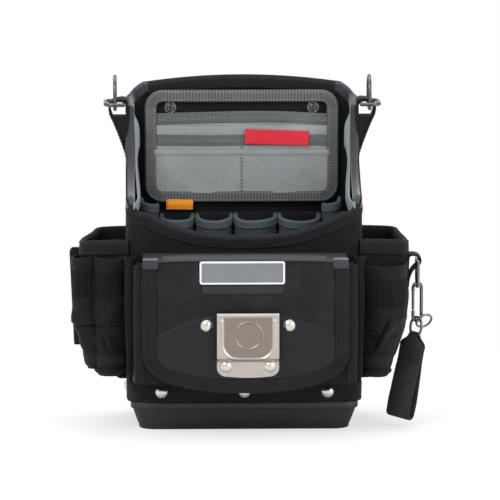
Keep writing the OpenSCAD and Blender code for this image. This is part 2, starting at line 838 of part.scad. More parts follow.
// Frame of the strap ring: origin at the foot of the hook, leaning with the strap
module at_strap_ring() {
  translate([carry_x, carry_y, hook_foot]) rotate([0, strap_lean, 0]) rotate([0, 0, strap_ring_turn])
    translate([0, 0, strap_ring_lift]) children();
}
module strap_ring() {
  color("#9c9ca0") at_strap_ring() translate([0, 0, -strap_ring_r]) ring_loop(strap_ring_r, small_wire);
}
module spare_ring() {
  reach = spare_r - spare_wire - small_wire - run_gap;
  color("#9c9ca0") at_strap_ring()
    translate([strap_ring_r*cos(spare_side), 0, strap_ring_r*(sin(spare_side) - 1)])
    rotate([0, 90 - spare_side, 0]) rotate([0, 0, 90])
    translate([reach*cos(spare_fall), 0, -reach*sin(spare_fall)]) ring_loop(spare_r, spare_wire);
}
module strap_side(half, foot) {
  polygon(concat(arc(0, 0, half, 0, 180, 12), arc(0, foot + half, half, 180, 360, 12)));
}
module wrist_strap() {
  inner = strap_gap/2;
  outer = inner + strap_t;
  color("#5a5a5f") at_strap_ring() translate([0, 0, -2*strap_ring_r]) rotate([0, 0, strap_turn]) difference() {
    intersection() {
      wall_yz(-web_w/2, web_w) strap_side(outer, -strap_len);
      wall_xz(-outer - 1, 2*outer + 2) polygon([[-neck_w/2, outer + 1], [-neck_w/2, 0], [-web_w/2, -8],
        [-web_w/2, -strap_len - 1], [web_w/2, -strap_len - 1], [web_w/2, -8], [neck_w/2, 0], [neck_w/2, outer + 1]]);
    }
    wall_yz(-web_w/2 - 1, web_w + 2) strap_side(inner, strap_t - strap_len);
  }
}

base_tray();
floor_board();
base_skirt();
base_rivets();
front_wall();
left_side_wall();
right_side_wall();
back_panel();
back_pad();
belt_tunnel();
rim_binding();
side_bindings();
top_binding();
side_linings();
lining_rivets();
tool_panel();
panel_frame();
slip_pocket_high();
slip_pocket_middle();
slip_pocket_low();
panel_rivets();
fabric_label();
small_tag();
loop_strip();
corner_loops();
tool_loop_1();
tool_loop_2();
tool_loop_3();
tool_loop_4();
pouch_face();
pouch_gussets();
pouch_floor();
flap_seam();
front_flap();
flap_binding();
flap_patch();
label_plate();
rubber_strip();
tape_clip();
flap_rivets();
left_pocket();
left_rear_board();
left_tubes();
driver_sleeves();
right_pocket();
right_lower_pocket();
hem_bands();
shoulder_tabs();
left_upright_ring();
left_flat_ring();
right_upright_ring();
right_flat_ring();
ring_tab();
pocket_ring();
snap_hook();
hook_gate();
strap_ring();
spare_ring();
wrist_strap();
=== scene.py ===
"""Dresses the frame of an electrician tool pouch with its fabrics, webbing, moulded base and fittings."""

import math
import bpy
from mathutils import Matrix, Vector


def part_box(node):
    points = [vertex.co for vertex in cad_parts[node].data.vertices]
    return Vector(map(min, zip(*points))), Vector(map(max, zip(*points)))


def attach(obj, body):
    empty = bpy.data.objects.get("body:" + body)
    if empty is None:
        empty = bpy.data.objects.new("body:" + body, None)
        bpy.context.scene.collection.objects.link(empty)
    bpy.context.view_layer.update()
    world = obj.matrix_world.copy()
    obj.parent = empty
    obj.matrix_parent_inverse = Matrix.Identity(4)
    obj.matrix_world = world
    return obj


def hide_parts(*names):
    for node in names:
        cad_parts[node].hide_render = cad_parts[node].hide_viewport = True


bl_info = {
    "name": "Electrician Tool Pouch",
    "version": (1, 0, 0),
    "blender": (4, 5, 0),
    "location": "3D View > Sidebar > Tool Pouch",
    "description": "Models the soft goods, fittings and finishes of a tool pouch around its frame",
    "category": "Object",
}

import bpy
import numpy as np
from bpy.props import FloatProperty, FloatVectorProperty, PointerProperty
from bpy.types import Operator, Panel, PropertyGroup
from mathutils import Matrix, Vector, noise

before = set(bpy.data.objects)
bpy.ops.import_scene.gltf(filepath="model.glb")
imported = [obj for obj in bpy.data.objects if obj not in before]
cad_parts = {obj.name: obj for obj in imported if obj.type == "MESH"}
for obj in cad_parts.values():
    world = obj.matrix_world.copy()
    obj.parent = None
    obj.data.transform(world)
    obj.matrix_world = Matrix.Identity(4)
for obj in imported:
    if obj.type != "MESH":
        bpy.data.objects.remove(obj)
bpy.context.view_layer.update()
MM = 0.001
FRONT = Vector((0, -1, 0))
UP = Vector((0, 0, 1))
SEAM_GAP = 1e-6  # metres between points that are welded into one
finishes = {}  # materials by name; make_finishes fills it


def span(node):
    """Lowest and highest corner of a CAD node, in millimetres."""
    low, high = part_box(node)
    return low / MM, high / MM


# ---------------------------------------------------------------- selecting and modifying


def deselect():
    if bpy.context.object and bpy.context.object.mode != "OBJECT":
        bpy.ops.object.mode_set(mode="OBJECT")
    bpy.ops.object.select_all(action="DESELECT")


def select(obj):
    deselect()
    obj.select_set(True)
    bpy.context.view_layer.objects.active = obj


def modify(obj, kind, **settings):
    """Adds a modifier with these settings and applies it."""
    select(obj)
    modifier = obj.modifiers.new(kind.title(), kind)
    for name, value in settings.items():
        setattr(modifier, name, value)
    bpy.ops.object.modifier_apply(modifier=modifier.name)
    return obj


def thicken(obj, thickness, offset=-1.0):
    """Gives a sheet its thickness: behind its face, or before it where the offset is 1."""
    return modify(obj, "SOLIDIFY", thickness=thickness * MM, offset=offset)


def soften(obj, width):
    """Rounds the sharp edges."""
    limit = math.radians(40)
    return modify(
        obj, "BEVEL", width=width * MM, segments=2, limit_method="ANGLE", angle_limit=limit, harden_normals=False
    )


def select_mesh():
    bpy.ops.mesh.select_all(action="SELECT")


def face_outwards():
    bpy.ops.mesh.normals_make_consistent(inside=False)


def edit_all(obj, *steps):
    """Takes these steps in edit mode, on the whole mesh."""
    select(obj)
    bpy.ops.object.mode_set(mode="EDIT")
    select_mesh()
    for step in steps:
        step()
    bpy.ops.object.mode_set(mode="OBJECT")


def flip_across():
    """The edit mode step that turns the selection into its mirror image on the other side of the bag."""
    bpy.ops.transform.mirror(constraint_axis=(True, False, False), center_override=(0, 0, 0))
    bpy.ops.mesh.flip_normals()


def weld(obj, fill=False):
    """Closes the seams, and the open ends if asked, and turns every face outwards."""
    steps = [lambda: bpy.ops.mesh.remove_doubles(threshold=SEAM_GAP)]
    if fill:
        steps += [select_mesh, lambda: bpy.ops.mesh.fill_holes(sides=0), select_mesh]
    edit_all(obj, *steps, face_outwards)
    return obj


def join(name, *objects):
    """Joins finished meshes into one piece."""
    deselect()
    for obj in objects:
        obj.select_set(True)
    bpy.context.view_layer.objects.active = objects[0]
    bpy.ops.object.join()
    objects[0].name = objects[0].data.name = name
    return objects[0]


def both_sides(name, obj):
    """Joins a piece with its mirror image on the other side of the bag."""
    select(obj)
    bpy.ops.object.duplicate()
    copy = bpy.context.object
    edit_all(copy, flip_across)
    return join(name, obj, copy)


def opposite(point):
    """The same place or direction on the other side of the bag."""
    return Vector((-point.x, point.y, point.z))


def flipped(rows):
    """The same rows of stitches on the other side of the bag."""
    return [[(opposite(p), opposite(n)) for p, n in row] for row in rows]


def dress(obj, finish, body="bag", stands_for=()):
    """Gives a piece its finish and shading and its body, and hides the CAD nodes that it stands for."""
    obj.data.materials.clear()
    obj.data.materials.append(finishes[finish])
    select(obj)
    bpy.ops.object.shade_smooth_by_angle(angle=math.radians(38))
    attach(obj, body)
    if stands_for:
        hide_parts(*stands_for)
    return obj


# ---------------------------------------------------------------- shapes


def measure(points):
    return sum((b - a).length for a, b in zip(points, points[1:]))


def mix(a, b, t):
    return a + (b - a) * t


def ease(t):
    t = min(max(t, 0.0), 1.0)
    return t * t * (3 - 2 * t)


def ripple(x, y, z, size, height, seed=0.0):
    """A smooth, repeatable unevenness, in millimetres."""
    return height * noise.noise(Vector((x / size + seed, y / size, z / size)))


def patch(name, across, along, place):
    """Adds a grid and lays it on the surface place(u, v), in millimetres, with u and v from 0 to 1.
    Its UV map holds true lengths, in metres."""
    deselect()
    bpy.ops.mesh.primitive_grid_add(x_subdivisions=across, y_subdivisions=along, size=1)
    obj = bpy.context.object
    obj.name = obj.data.name = name
    spots = [(v.co.x + 0.5, v.co.y + 0.5) for v in obj.data.vertices]
    for vertex, (u, v) in zip(obj.data.vertices, spots):
        vertex.co = Vector(place(u, v)) * MM
    wide = measure([Vector(place(i / across, 0.5)) for i in range(across + 1)]) * MM
    tall = measure([Vector(place(0.5, i / along)) for i in range(along + 1)]) * MM
    layer = obj.data.uv_layers.active.data
    for loop, corner in zip(obj.data.loops, layer):
        u, v = spots[loop.vertex_index]
        corner.uv = (u * wide, v * tall)
    return obj


def cut(name, across, along, place, thickness, soft=0.0, seamed=False, offset=-1.0):
    """Cuts a piece of cloth to the surface place(u, v), sews it shut where its sides meet, if it is seamed,
    and gives it its thickness and soft edges."""
    obj = patch(name, across, along, place)
    if seamed:
        weld(obj)
    thicken(obj, thickness, offset)
    return soften(obj, soft) if soft else obj


def sweep(name, rails, profile, loop=False):
    """Runs a closed profile along rails. Each rail is (edge, inner, out), and the profile point (f, h)
    lies f of the way from edge to inner and h millimetres along out."""
    ring = list(profile) + [profile[0]]
    last, round_last = len(rails) - 1, len(ring) - 1

    def place(u, v):
        edge, inner, out = rails[round(u * last)]
        f, h = ring[round(v * round_last)]
        return edge + (inner - edge) * f + out * h

    return weld(patch(name, last, round_last, place), fill=not loop)


def board(name, low, high, axis, radius, edge, segments=6):
    """A flat plate with rounded corners about one axis and softened edges, from low to high."""
    deselect()
    low, high = Vector(low), Vector(high)
    bpy.ops.mesh.primitive_cube_add(size=1)
    obj = bpy.context.object
    obj.name = obj.data.name = name
    edit_all(
        obj,
        lambda: bpy.ops.transform.resize(value=(high - low) * MM, center_override=(0, 0, 0)),
        lambda: bpy.ops.transform.translate(value=(low + high) / 2 * MM),
        lambda: bpy.ops.mesh.select_mode(type="EDGE"),
        lambda: bpy.ops.mesh.select_all(action="DESELECT"),
    )
    others = [i for i in range(3) if i != axis]
    for e in obj.data.edges:
        a, b = (obj.data.vertices[i].co for i in e.vertices)
        e.select = all(abs(a[i] - b[i]) < SEAM_GAP / 10 for i in others)
    bpy.ops.object.mode_set(mode="EDIT")
    bpy.ops.mesh.bevel(offset=radius * MM, segments=segments, affect="EDGES")
    bpy.ops.mesh.select_mode(type="VERT")
    bpy.ops.object.mode_set(mode="OBJECT")
    if edge:
        soften(obj, edge)
    return obj


def stitching(name, rows, finish, body="bag", pitch=3.4, length=2.5, thick=0.7):
    """Sews stitches along rows. Each row is a list of (point, out), in millimetres."""
    deselect()
    bpy.ops.mesh.primitive_uv_sphere_add(segments=6, ring_count=4, radius=0.5)
    pattern = bpy.context.object
    shape = np.array([v.co for v in pattern.data.vertices])[:, [2, 0, 1]] * (length, thick, thick * 0.8)
    faces = [tuple(p.vertices) for p in pattern.data.polygons]
    bpy.data.objects.remove(pattern)
    corners, sides = [], []
    for row in rows:
        walked, target = 0.0, pitch / 2
        for (a, out_a), (b, out_b) in zip(row, row[1:]):
            step = (b - a).length
            while step > 0 and walked + step >= target:
                t = (target - walked) / step
                middle, out = mix(a, b, t), mix(out_a, out_b, t).normalized()
                run = (b - a).normalized()
                turn = np.array([run, out.cross(run), out])
                sides += [tuple(i + len(corners) * len(shape) for i in f) for f in faces]
                corners.append(shape @ turn + np.array(middle))
                target += pitch
            walked += step
    mesh = bpy.data.meshes.new(name)
    mesh.from_pydata((np.concatenate(corners) * MM).tolist(), [], sides)
    obj = bpy.data.objects.new(name, mesh)
    bpy.context.scene.collection.objects.link(obj)
    mesh.materials.append(finishes[finish])
    weld(obj)
    select(obj)
    bpy.ops.object.shade_smooth()
    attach(obj, body)
    return obj


def seam(rails, f, h, start=0.0, end=1.0):
    """The row of stitches at f across a strip of rails and h above it."""
    count = len(rails) - 1
    return [
        (edge + (inner - edge) * f + out * h, out)
        for edge, inner, out in rails[round(start * count) : round(end * count) + 1]
    ]


def line(a, b, out):
    """A straight row for stitches from a to b, with a point every 4 mm."""
    a, b = Vector(a), Vector(b)
    count = max(2, math.ceil((b - a).length / 4.0))
    return [(mix(a, b, i / count), Vector(out)) for i in range(count + 1)]


def rounded_ring(x0, z0, x1, z1, radius, inset, steps, straight):
    """Points round a rectangle with rounded corners in the XZ plane, and the same points drawn in."""
    pairs = []
    corners = [
        (x1 - radius, z1 - radius, 0),
        (x0 + radius, z1 - radius, 90),
        (x0 + radius, z0 + radius, 180),
        (x1 - radius, z0 + radius, 270),
    ]
    for cx, cz, start in corners:
        for i in range(steps + 1):
            a = math.radians(start + 90 * i / steps)
            c, s = math.cos(a), math.sin(a)
            pairs.append(((cx + radius * c, cz + radius * s), (cx + (radius - inset) * c, cz + (radius - inset) * s)))
    full = []
    for (a, b), (c, d) in zip(pairs, pairs[1:] + pairs[:1]):
        full.append((a, b))
        if math.dist(a, c) > 3 * radius * math.pi / 2 / steps:
            for i in range(1, straight):
                t = i / straight
                full.append(tuple((mix(p[0], q[0], t), mix(p[1], q[1], t)) for p, q in ((a, c), (b, d))))
    return full + full[:1]


def rounded_outline(wide, deep, radius, steps):
    """Points (x, y, outward) round a rectangle with rounded corners about the Z axis, from half widths."""
    points = []
    for cx, cy, start in ((1, 1, 0), (-1, 1, 90), (-1, -1, 180), (1, -1, 270)):
        for i in range(steps + 1):
            a = math.radians(start + 90 * i / steps)
            c, s = math.cos(a), math.sin(a)
            points.append((cx * (wide - radius) + radius * c, cy * (deep - radius) + radius * s, Vector((c, s, 0))))
    return points


# ---------------------------------------------------------------- shader maths


class Wire:
    """An output socket that takes part in sums, so that shader maths reads as an expression."""

    def __init__(self, shade, socket):
        self.shade, self.socket = shade, socket

    def math(self, operation, *others):
        inputs = dict(enumerate([self, *others]))
        return self.shade.add("ShaderNodeMath", {"operation": operation}, inputs)

    def __add__(self, other):
        return self.math("ADD", other)

    def __mul__(self, other):
        return self.math("MULTIPLY", other)

    def __sub__(self, other):
        return self.math("SUBTRACT", other)

    def __truediv__(self, other):
        return self.math("DIVIDE", other)

    def __pow__(self, other):
        return self.math("POWER", other)

    def __rsub__(self, other):
        return self.shade.add("ShaderNodeMath", {"operation": "SUBTRACT"}, {0: other, 1: self})

    def __rtruediv__(self, other):
        return self.shade.add("ShaderNodeMath", {"operation": "DIVIDE"}, {0: other, 1: self})

    __radd__ = __add__
    __rmul__ = __mul__

    def sin(self):
        return self.math("SINE")

    def clamp(self):
        return self.shade.add("ShaderNodeClamp", {}, {0: self})

    def over(self, other):
        return self.math("GREATER_THAN", other)


class Shade:
    """A material on the Principled shader, with one way to add any node."""

    def __init__(self, name, **sockets):
        self.material = bpy.data.materials.new(name)
        self.material.use_nodes = True
        self.tree = self.material.node_tree
        self.shader = self.tree.nodes["Principled BSDF"]
        for key, value in sockets.items():
            self.shader.inputs[key.replace("_", " ")].default_value = value

    def add(self, kind, settings, inputs, output=0):
        """A node of this type, with its settings and the values or links of its sockets."""
        node = self.tree.nodes.new(kind)
        for key, value in settings.items():
            setattr(node, key, value)
        for key, value in inputs.items():
            if isinstance(value, Wire):
                self.tree.links.new(value.socket, node.inputs[key])
            else:
                node.inputs[key].default_value = value
        return Wire(self, node.outputs[output])

    def place(self, output="Object"):
        """The piece's own coordinates: Object, or UV for a pattern that follows the surface."""
        return self.add("ShaderNodeTexCoord", {}, {}, output)

    def split(self, vector):
        first = self.add("ShaderNodeSeparateXYZ", {}, {0: vector})
        return [Wire(self, first.socket.node.outputs[i]) for i in range(3)]

    def vector(self, x, y, z):
        return self.add("ShaderNodeCombineXYZ", {}, {0: x, 1: y, 2: z})

    def noise(self, where, scale, detail=3.0, roughness=0.55):
        return self.add(
            "ShaderNodeTexNoise", {}, {"Vector": where, "Scale": scale, "Detail": detail, "Roughness": roughness}
        )

    def blend(self, a, b, factor):
        """A colour between two, by a factor that may vary."""
        settings = {"data_type": "RGBA"}
        return self.add("ShaderNodeMix", settings, {0: factor, 6: a, 7: b}, 2)

    def bump(self, height, distance, strength=1.0, under=None):
        """A bump of this height in millimetres, over another one if given."""
        inputs = {"Height": height, "Distance": distance * MM, "Strength": strength}
        if under:
            inputs["Normal"] = under
        return self.add("ShaderNodeBump", {}, inputs)

    def out(self, **wires):
        """Links wires to the shader's sockets and hands over the material."""
        for key, wire in wires.items():
            self.tree.links.new(wire.socket, self.shader.inputs[key.replace("_", " ")])
        return self.material


def tone(colour, amount):
    """A lighter or darker shade of a colour, with its alpha."""
    return tuple(min(c * amount, 1.0) for c in colour[:3]) + (1.0,)


def fabric(name, colour, pitch, creases, depth=0.3, twill=0.0, grain=1.0):
    """Woven nylon: crossing threads and a fuzz of fibres, with painted light and shade on the weave, and soft creases
    painted lighter on their crowns as painted light.
    """
    s = Shade(name, Sheen_Weight=0.05, Sheen_Roughness=0.45, Specular_IOR_Level=0.14)
    where = s.place("UV")
    x, y, _ = s.split(where)
    turn = 2 * math.pi / (pitch * MM)
    threads = (x * turn).sin() * (y * turn + x * (turn * twill)).sin() * 0.5 + 0.5
    fibres = s.noise(where, 2600.0, 2.0)
    broad = s.noise(s.place(), 26.0, 4.0, 0.6)
    mottle = s.noise(s.place(), 700.0, 2.0)
    # Painted light and shade: the threads term lights the threads' crowns and darkens between them; the fibres and
    # mottle vary the yarn's own tone.
    light = threads * 0.45 + fibres * 0.2 + (mottle - 0.5) * 1.6 + 0.1
    cloth = s.blend(tone(colour, 1 - 0.75 * grain), tone(colour, 1 + 1.2 * grain), light.clamp())
    # Painted light: the broad noise that raises the creases also paints the cloth lighter on their crowns.
    painted_fold_light = s.blend(cloth, tone(colour, 1 + 1.6 * grain), ((broad - 0.5) * 2.6).clamp())
    waves = s.bump(broad, creases)
    weave = s.bump(threads * 0.8 + fibres * 0.35 + mottle * 0.5, depth, 1.0, waves)
    shine = fibres * 0.16 + broad * 0.12 + 0.58
    return s.out(Base_Color=painted_fold_light, Roughness=shine, Normal=weave)


def webbing(name, colour, pitch=2.1, sheen=0.05, depth=0.6, columns=3.1, rough=0.66):
    """Heavy woven tape: ribs across its length and lanes of warp threads, painted lighter on the rib crests and broad
    waves and darker between them, as painted light and shade.
    """
    s = Shade(name, Sheen_Weight=sheen, Sheen_Roughness=0.4, Specular_IOR_Level=0.14)
    where = s.place("UV")
    x, y, _ = s.split(where)
    turn = 2 * math.pi / (pitch * MM)
    lanes = (y * (2 * math.pi / (columns * MM))).sin()
    ribs = (x * turn + lanes * 0.9).sin() * 0.5 + 0.5
    fibres = s.noise(where, 2200.0, 2.0)
    broad = s.noise(s.place(), 55.0, 3.0)
    # Painted light and shade: the ribs and broad waves of the bump also lighten the colour on their crests and darken
    # it between them.
    light = ribs * 0.6 + fibres * 0.25 + broad * 0.3 - 0.12
    cloth = s.blend(tone(colour, 0.35), tone(colour, 2.2), light.clamp())
    height = ribs * 0.85 + lanes * 0.1 + fibres * 0.2
    return s.out(
        Base_Color=cloth,
        Roughness=fibres * 0.2 + (rough - 0.1),
        Normal=s.bump(height, depth, 0.9, s.bump(broad, 0.35)),
    )


def moulded(name, colour, rough, grain, depth, specular=0.45):
    """Moulded plastic or rubber: a fine pebble grain, rubbed smoother in patches."""
    s = Shade(name, Specular_IOR_Level=specular)
    where = s.place()
    pebble = s.add("ShaderNodeTexVoronoi", {}, {"Vector": where, "Scale": grain})
    haze = s.noise(where, 34.0, 4.0)
    dust = s.noise(where, 420.0, 3.0)
    coat = s.blend(tone(colour, 0.8), tone(colour, 1.5), (haze * 0.7 + dust * 0.5 - 0.25).clamp())
    return s.out(
        Base_Color=coat,
        Roughness=haze * 0.25 + dust * 0.1 + (rough - 0.15),
        Normal=s.bump(pebble, depth, 0.8, s.bump(haze, 0.25)),
    )


def metal(name, colour, rough, brushed=0.0, tarnish=0.35, field=None):
    """Bare or plated metal with fine scratches, brushed along X where asked, tarnished in cloudy patches, and given the
    field colour over its field where one is given.
    """
    s = Shade(name, Metallic=1.0)
    where = s.place()
    x, y, z = s.split(where)
    streaks = s.noise(s.vector(x * 60.0, y * 60.0, z * 2600.0), 1.0, 3.0)
    cloud = s.noise(where, 120.0, 4.0)
    scratches = s.noise(s.vector(x * 2400.0, y * 900.0, z * 140.0), 1.0, 2.0)
    worn = streaks * brushed + cloud * tarnish + scratches * 0.15
    skin = s.blend(tone(colour, 1.12), tone(colour, 0.6), worn.clamp())
    if field:
        inside = s.add("ShaderNodeAttribute", {"attribute_name": "field"}, {}, "Fac")
        skin = s.blend(skin, s.blend(tone(field, 1.15), tone(field, 0.7), worn.clamp()), inside)
    return s.out(
        Base_Color=skin,
        Roughness=streaks * (0.3 * brushed) + cloud * 0.16 + (rough - 0.08),
        Normal=s.bump(streaks * brushed + scratches * 0.3, 0.03, 0.6),
    )


def spacer_mesh(name, colour):
    """Padded spacer mesh: rows of small round holes in a knitted face."""
    s = Shade(name, Sheen_Weight=0.3, Sheen_Roughness=0.5, Specular_IOR_Level=0.3)
    where = s.place()
    x, _, z = s.split(where)
    turn = 2 * math.pi / (3.4 * MM)
    holes = ((x * turn + z * (turn * 0.58)).sin() * (z * turn * 1.15).sin()).over(0.35)
    broad = s.noise(where, 40.0, 3.0)
    fibres = s.noise(where, 1800.0, 2.0)
    # Painted shade: the holes are painted near black for the shade inside them, and the knit is painted lighter over
    # its broad bumps as painted light.
    knit = s.blend(tone(colour, 0.7), tone(colour, 1.5), (broad * 0.6 + fibres * 0.5 - 0.1).clamp())
    colour_out = s.blend(knit, tone(colour, 0.25), holes)
    return s.out(
        Base_Color=colour_out,
        Roughness=fibres * 0.15 + 0.75,
        Normal=s.bump(1 - holes, 0.5, 0.7, s.bump(broad, 0.6)),
    )


# ---------------------------------------------------------------- settings


def paint(code):
    """A colour from its six-digit code, in the linear values that shaders use."""
    channels = [int(code[i : i + 2], 16) / 255 for i in (0, 2, 4)]
    return tuple(c / 12.92 if c <= 0.04045 else ((c + 0.055) / 1.055) ** 2.4 for c in channels)


def tint(label, code):
    return FloatVectorProperty(
        name=label,
        description=f"Colour of the {label.lower()}",
        subtype="COLOR",
        size=3,
        min=0.0,
        max=1.0,
        default=paint(code),
    )


def size(label, description, value, low, high):
    return FloatProperty(
        name=label,
        description=description,
        unit="LENGTH",
        subtype="DISTANCE",
        default=value * MM,
        min=low * MM,
        max=high * MM,
    )


class PouchColours(PropertyGroup):
    """Colours of the pouch's fabrics and fittings."""

    bag_nylon: tint("Bag nylon", "111114")
    flap_nylon: tint("Flap nylon", "1b1b1e")
    pocket_nylon: tint("Side pocket nylon", "101012")
    black_webbing: tint("Black webbing", "141416")
    # Lighter and purplish, partly as a painted sheen.
    edge_tape: tint("Edge tape", "312f37")
    panel_tape: tint("Tool panel tape", "525456")
    pocket_cloth: tint("Slip pocket cloth", "8b8f90")
    lining: tint("Side lining", "859091")
    loop_cloth: tint("Tool loop cloth", "3d464a")
    smooth_patch: tint("Smooth reinforcement", "1d1d20")
    base_plastic: tint("Base plastic", "1e1e20")
    rubber: tint("Rubber strip", "101011")
    label_field: tint("Label field", "6d7074")
    label_rim: tint("Label rim", "f2f2f2")
    red_label: tint("Red label", "c92f3c")
    orange_tag: tint("Orange tag", "e8932c")
    clip_steel: tint("Clip steel", "bdb6af")
    clip_field: tint("Clip field", "8a7f76")
    nickel: tint("Nickel", "c9c5be")
    antique: tint("Antique brass", "4c453c")
    gunmetal: tint("Gunmetal", "5a5a60")
    strap_webbing: tint("Wrist strap webbing", "2b2b2e")
    thread: tint("Thread", "2c2c2f")
    pad_mesh: tint("Back pad mesh", "1b1b1e")


class PouchSizes(PropertyGroup):
    """Sizes of the pouch's tapes, stitches and soft forms."""

    corner: size("Wall corner", "Radius of the front corners of the bag", 17, 8, 24)
    rim_tape: size("Rim tape", "Width of the webbing over the front rim", 11, 8, 14)
    side_tape: size("Side tape", "Width of the folded tape on the side edges", 8.5, 6, 12)
    tape: size("Tape thickness", "Thickness of the edge tapes", 1.5, 0.8, 2.5)
    stitch: size("Stitch pitch", "Distance from stitch to stitch", 3.4, 2.5, 5)
    swell: size("Pad swell", "How far the back pad may swell", 5, 2, 8)


# ---------------------------------------------------------------- finishes


def make_finishes(colours):
    """Makes every material once, by the name that the pieces ask for."""
    c = colours
    finishes.update(
        bag=fabric("bag_nylon", c.bag_nylon, 2.1, creases=2.0),
        flap=fabric("flap_twill", c.flap_nylon, 2.1, twill=0.5, creases=2.4),
        pocket=fabric("pocket_nylon", c.pocket_nylon, 2.2, creases=2.2),
        webbing=webbing("black_webbing", c.black_webbing),
        # The edge tape's lighter purplish tint is partly a painted sheen.
        tape=webbing("edge_tape", c.edge_tape, 1.1, sheen=0.6, depth=0.16, columns=8.0, rough=0.5),
        flap_tape=webbing("flap_tape", tone(c.flap_nylon, 0.75), 1.8),
        piping=webbing("piping", tone(c.panel_tape, 0.5), 1.6, depth=0.6, columns=9.0),
        flap_thread=webbing("flap_thread", tone(c.flap_nylon, 2.0), 0.9, depth=0.1, columns=1.0),
        panel_tape=webbing("panel_tape", c.panel_tape, 1.5, depth=0.25),
        pocket_cloth=fabric("slip_pocket_cloth", c.pocket_cloth, 1.1, depth=0.14, creases=0.9, grain=0.22),
        pocket_hem=fabric("pocket_hem", tone(c.pocket_cloth, 0.4), 1.1, depth=0.14, creases=0.9, grain=0.3),
        lining=fabric("side_lining", c.lining, 1.1, depth=0.14, creases=0.9, grain=0.22),
        loop_cloth=fabric("loop_cloth", c.loop_cloth, 1.2, creases=0.5, grain=0.35),
        loop_tape=webbing("loop_tape", tone(c.loop_cloth, 1.25), 1.3, depth=0.25),
        patch=moulded("smooth_patch", c.smooth_patch, 0.5, 1500.0, 0.06, specular=0.16),
        base=moulded("base_plastic", c.base_plastic, 0.5, 1100.0, 0.1),
        rubber=moulded("rubber", c.rubber, 0.55, 1300.0, 0.05),
        label_field=moulded("label_field", c.label_field, 0.45, 1600.0, 0.04),
        label_rim=moulded("label_rim", c.label_rim, 0.4, 1600.0, 0.03),
        red=fabric("red_label", c.red_label, 0.8, depth=0.1, creases=0.4, grain=0.15),
        orange=fabric("orange_tag", c.orange_tag, 0.8, depth=0.1, creases=0.4, grain=0.15),
        clip=metal("clip_steel", c.clip_steel, 0.3, brushed=0.55, field=tone(c.clip_field, 1.0)),
        nickel=metal("nickel", c.nickel, 0.22),
        antique=metal("antique_brass", c.antique, 0.38, tarnish=0.8),
        ring_steel=metal("ring_steel", tone(c.gunmetal, 1.5), 0.26, tarnish=0.4),
        gunmetal=metal("gunmetal", c.gunmetal, 0.3, tarnish=0.5),
        strap=webbing("strap_webbing", c.strap_webbing, 2.1, depth=0.5, columns=4.0),
        # Near black thread that also serves as a painted shadow line.
        dark_thread=webbing("dark_thread", tone(c.bag_nylon, 0.5), 0.9, depth=0.1, columns=1.0),
        thread=webbing("thread", c.thread, 0.9, depth=0.1, columns=1.0),
        grey_thread=webbing("grey_thread", tone(c.panel_tape, 2.4), 0.9, depth=0.1, columns=1.0),
        pad=spacer_mesh("pad_mesh", c.pad_mesh),
    )


def finish_node(name, finish):
    """Gives a CAD node that stays in view a worked finish."""
    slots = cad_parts[name].data.materials
    slots.clear()
    slots.append(finishes[finish])


# ---------------------------------------------------------------- the bag's own outline

WALL_LOW, WALL_HIGH = span("front_wall")
BACK_LOW, BACK_HIGH = span("back_panel")
SIDE_LOW, SIDE_HIGH = span("right_side_wall")
HALF = WALL_HIGH.x
FRONT_Y, BACK_Y = WALL_LOW.y, BACK_HIGH.y
WALL = WALL_HIGH.y - WALL_LOW.y
FOOT = WALL_LOW.z
RIM_END = WALL_HIGH.z
RIM_DIP = 34.0
RIM_CURVE = 2.6
SHOULDER = SIDE_HIGH.z
TOP = BACK_HIGH.z
CORNER_TOP = TOP - 7.0
CORNER_IN = 14.0
BACK_CORNER = 7.0
# Free front edge of a side wall as (y, z) control points
EDGE_CURVE = [(FRONT_Y + WALL, RIM_END), (-10.0, RIM_END + 4), (20.0, RIM_END - RIM_DIP + 60), (30.0, SHOULDER - 8)]


def bezier(points, t):
    weights = ((1 - t) ** 3, 3 * t * (1 - t) ** 2, 3 * t * t * (1 - t), t**3)
    return tuple(sum(w * p[i] for w, p in zip(weights, points)) for i in range(2))


EDGE_LINE = [bezier(EDGE_CURVE, i / 60) for i in range(61)] + [(BACK_Y - WALL, SHOULDER)]
EDGE_Y = [p[0] for p in EDGE_LINE]
EDGE_Z = [p[1] for p in EDGE_LINE]


def edge_height(x, y, corner):
    """Height of the open edge of the bag at a place on its wall."""
    reach = abs(x)
    if y <= FRONT_Y + corner:
        rim = RIM_END - RIM_DIP * (1 - (min(reach, HALF - corner) / HALF) ** RIM_CURVE)
        side = float(np.interp(FRONT_Y + corner, EDGE_Y, EDGE_Z))
        return mix(rim, side, ease((y - FRONT_Y) / corner))
    if y >= BACK_Y - BACK_CORNER:
        slope = min((HALF - reach) / CORNER_IN, 1.0)
        k = min(reach / (HALF - CORNER_IN), 1.0)
        return SHOULDER + (CORNER_TOP - SHOULDER) * slope + (TOP - CORNER_TOP) * (1 - k * k)
    return float(np.interp(y, EDGE_Y, EDGE_Z))


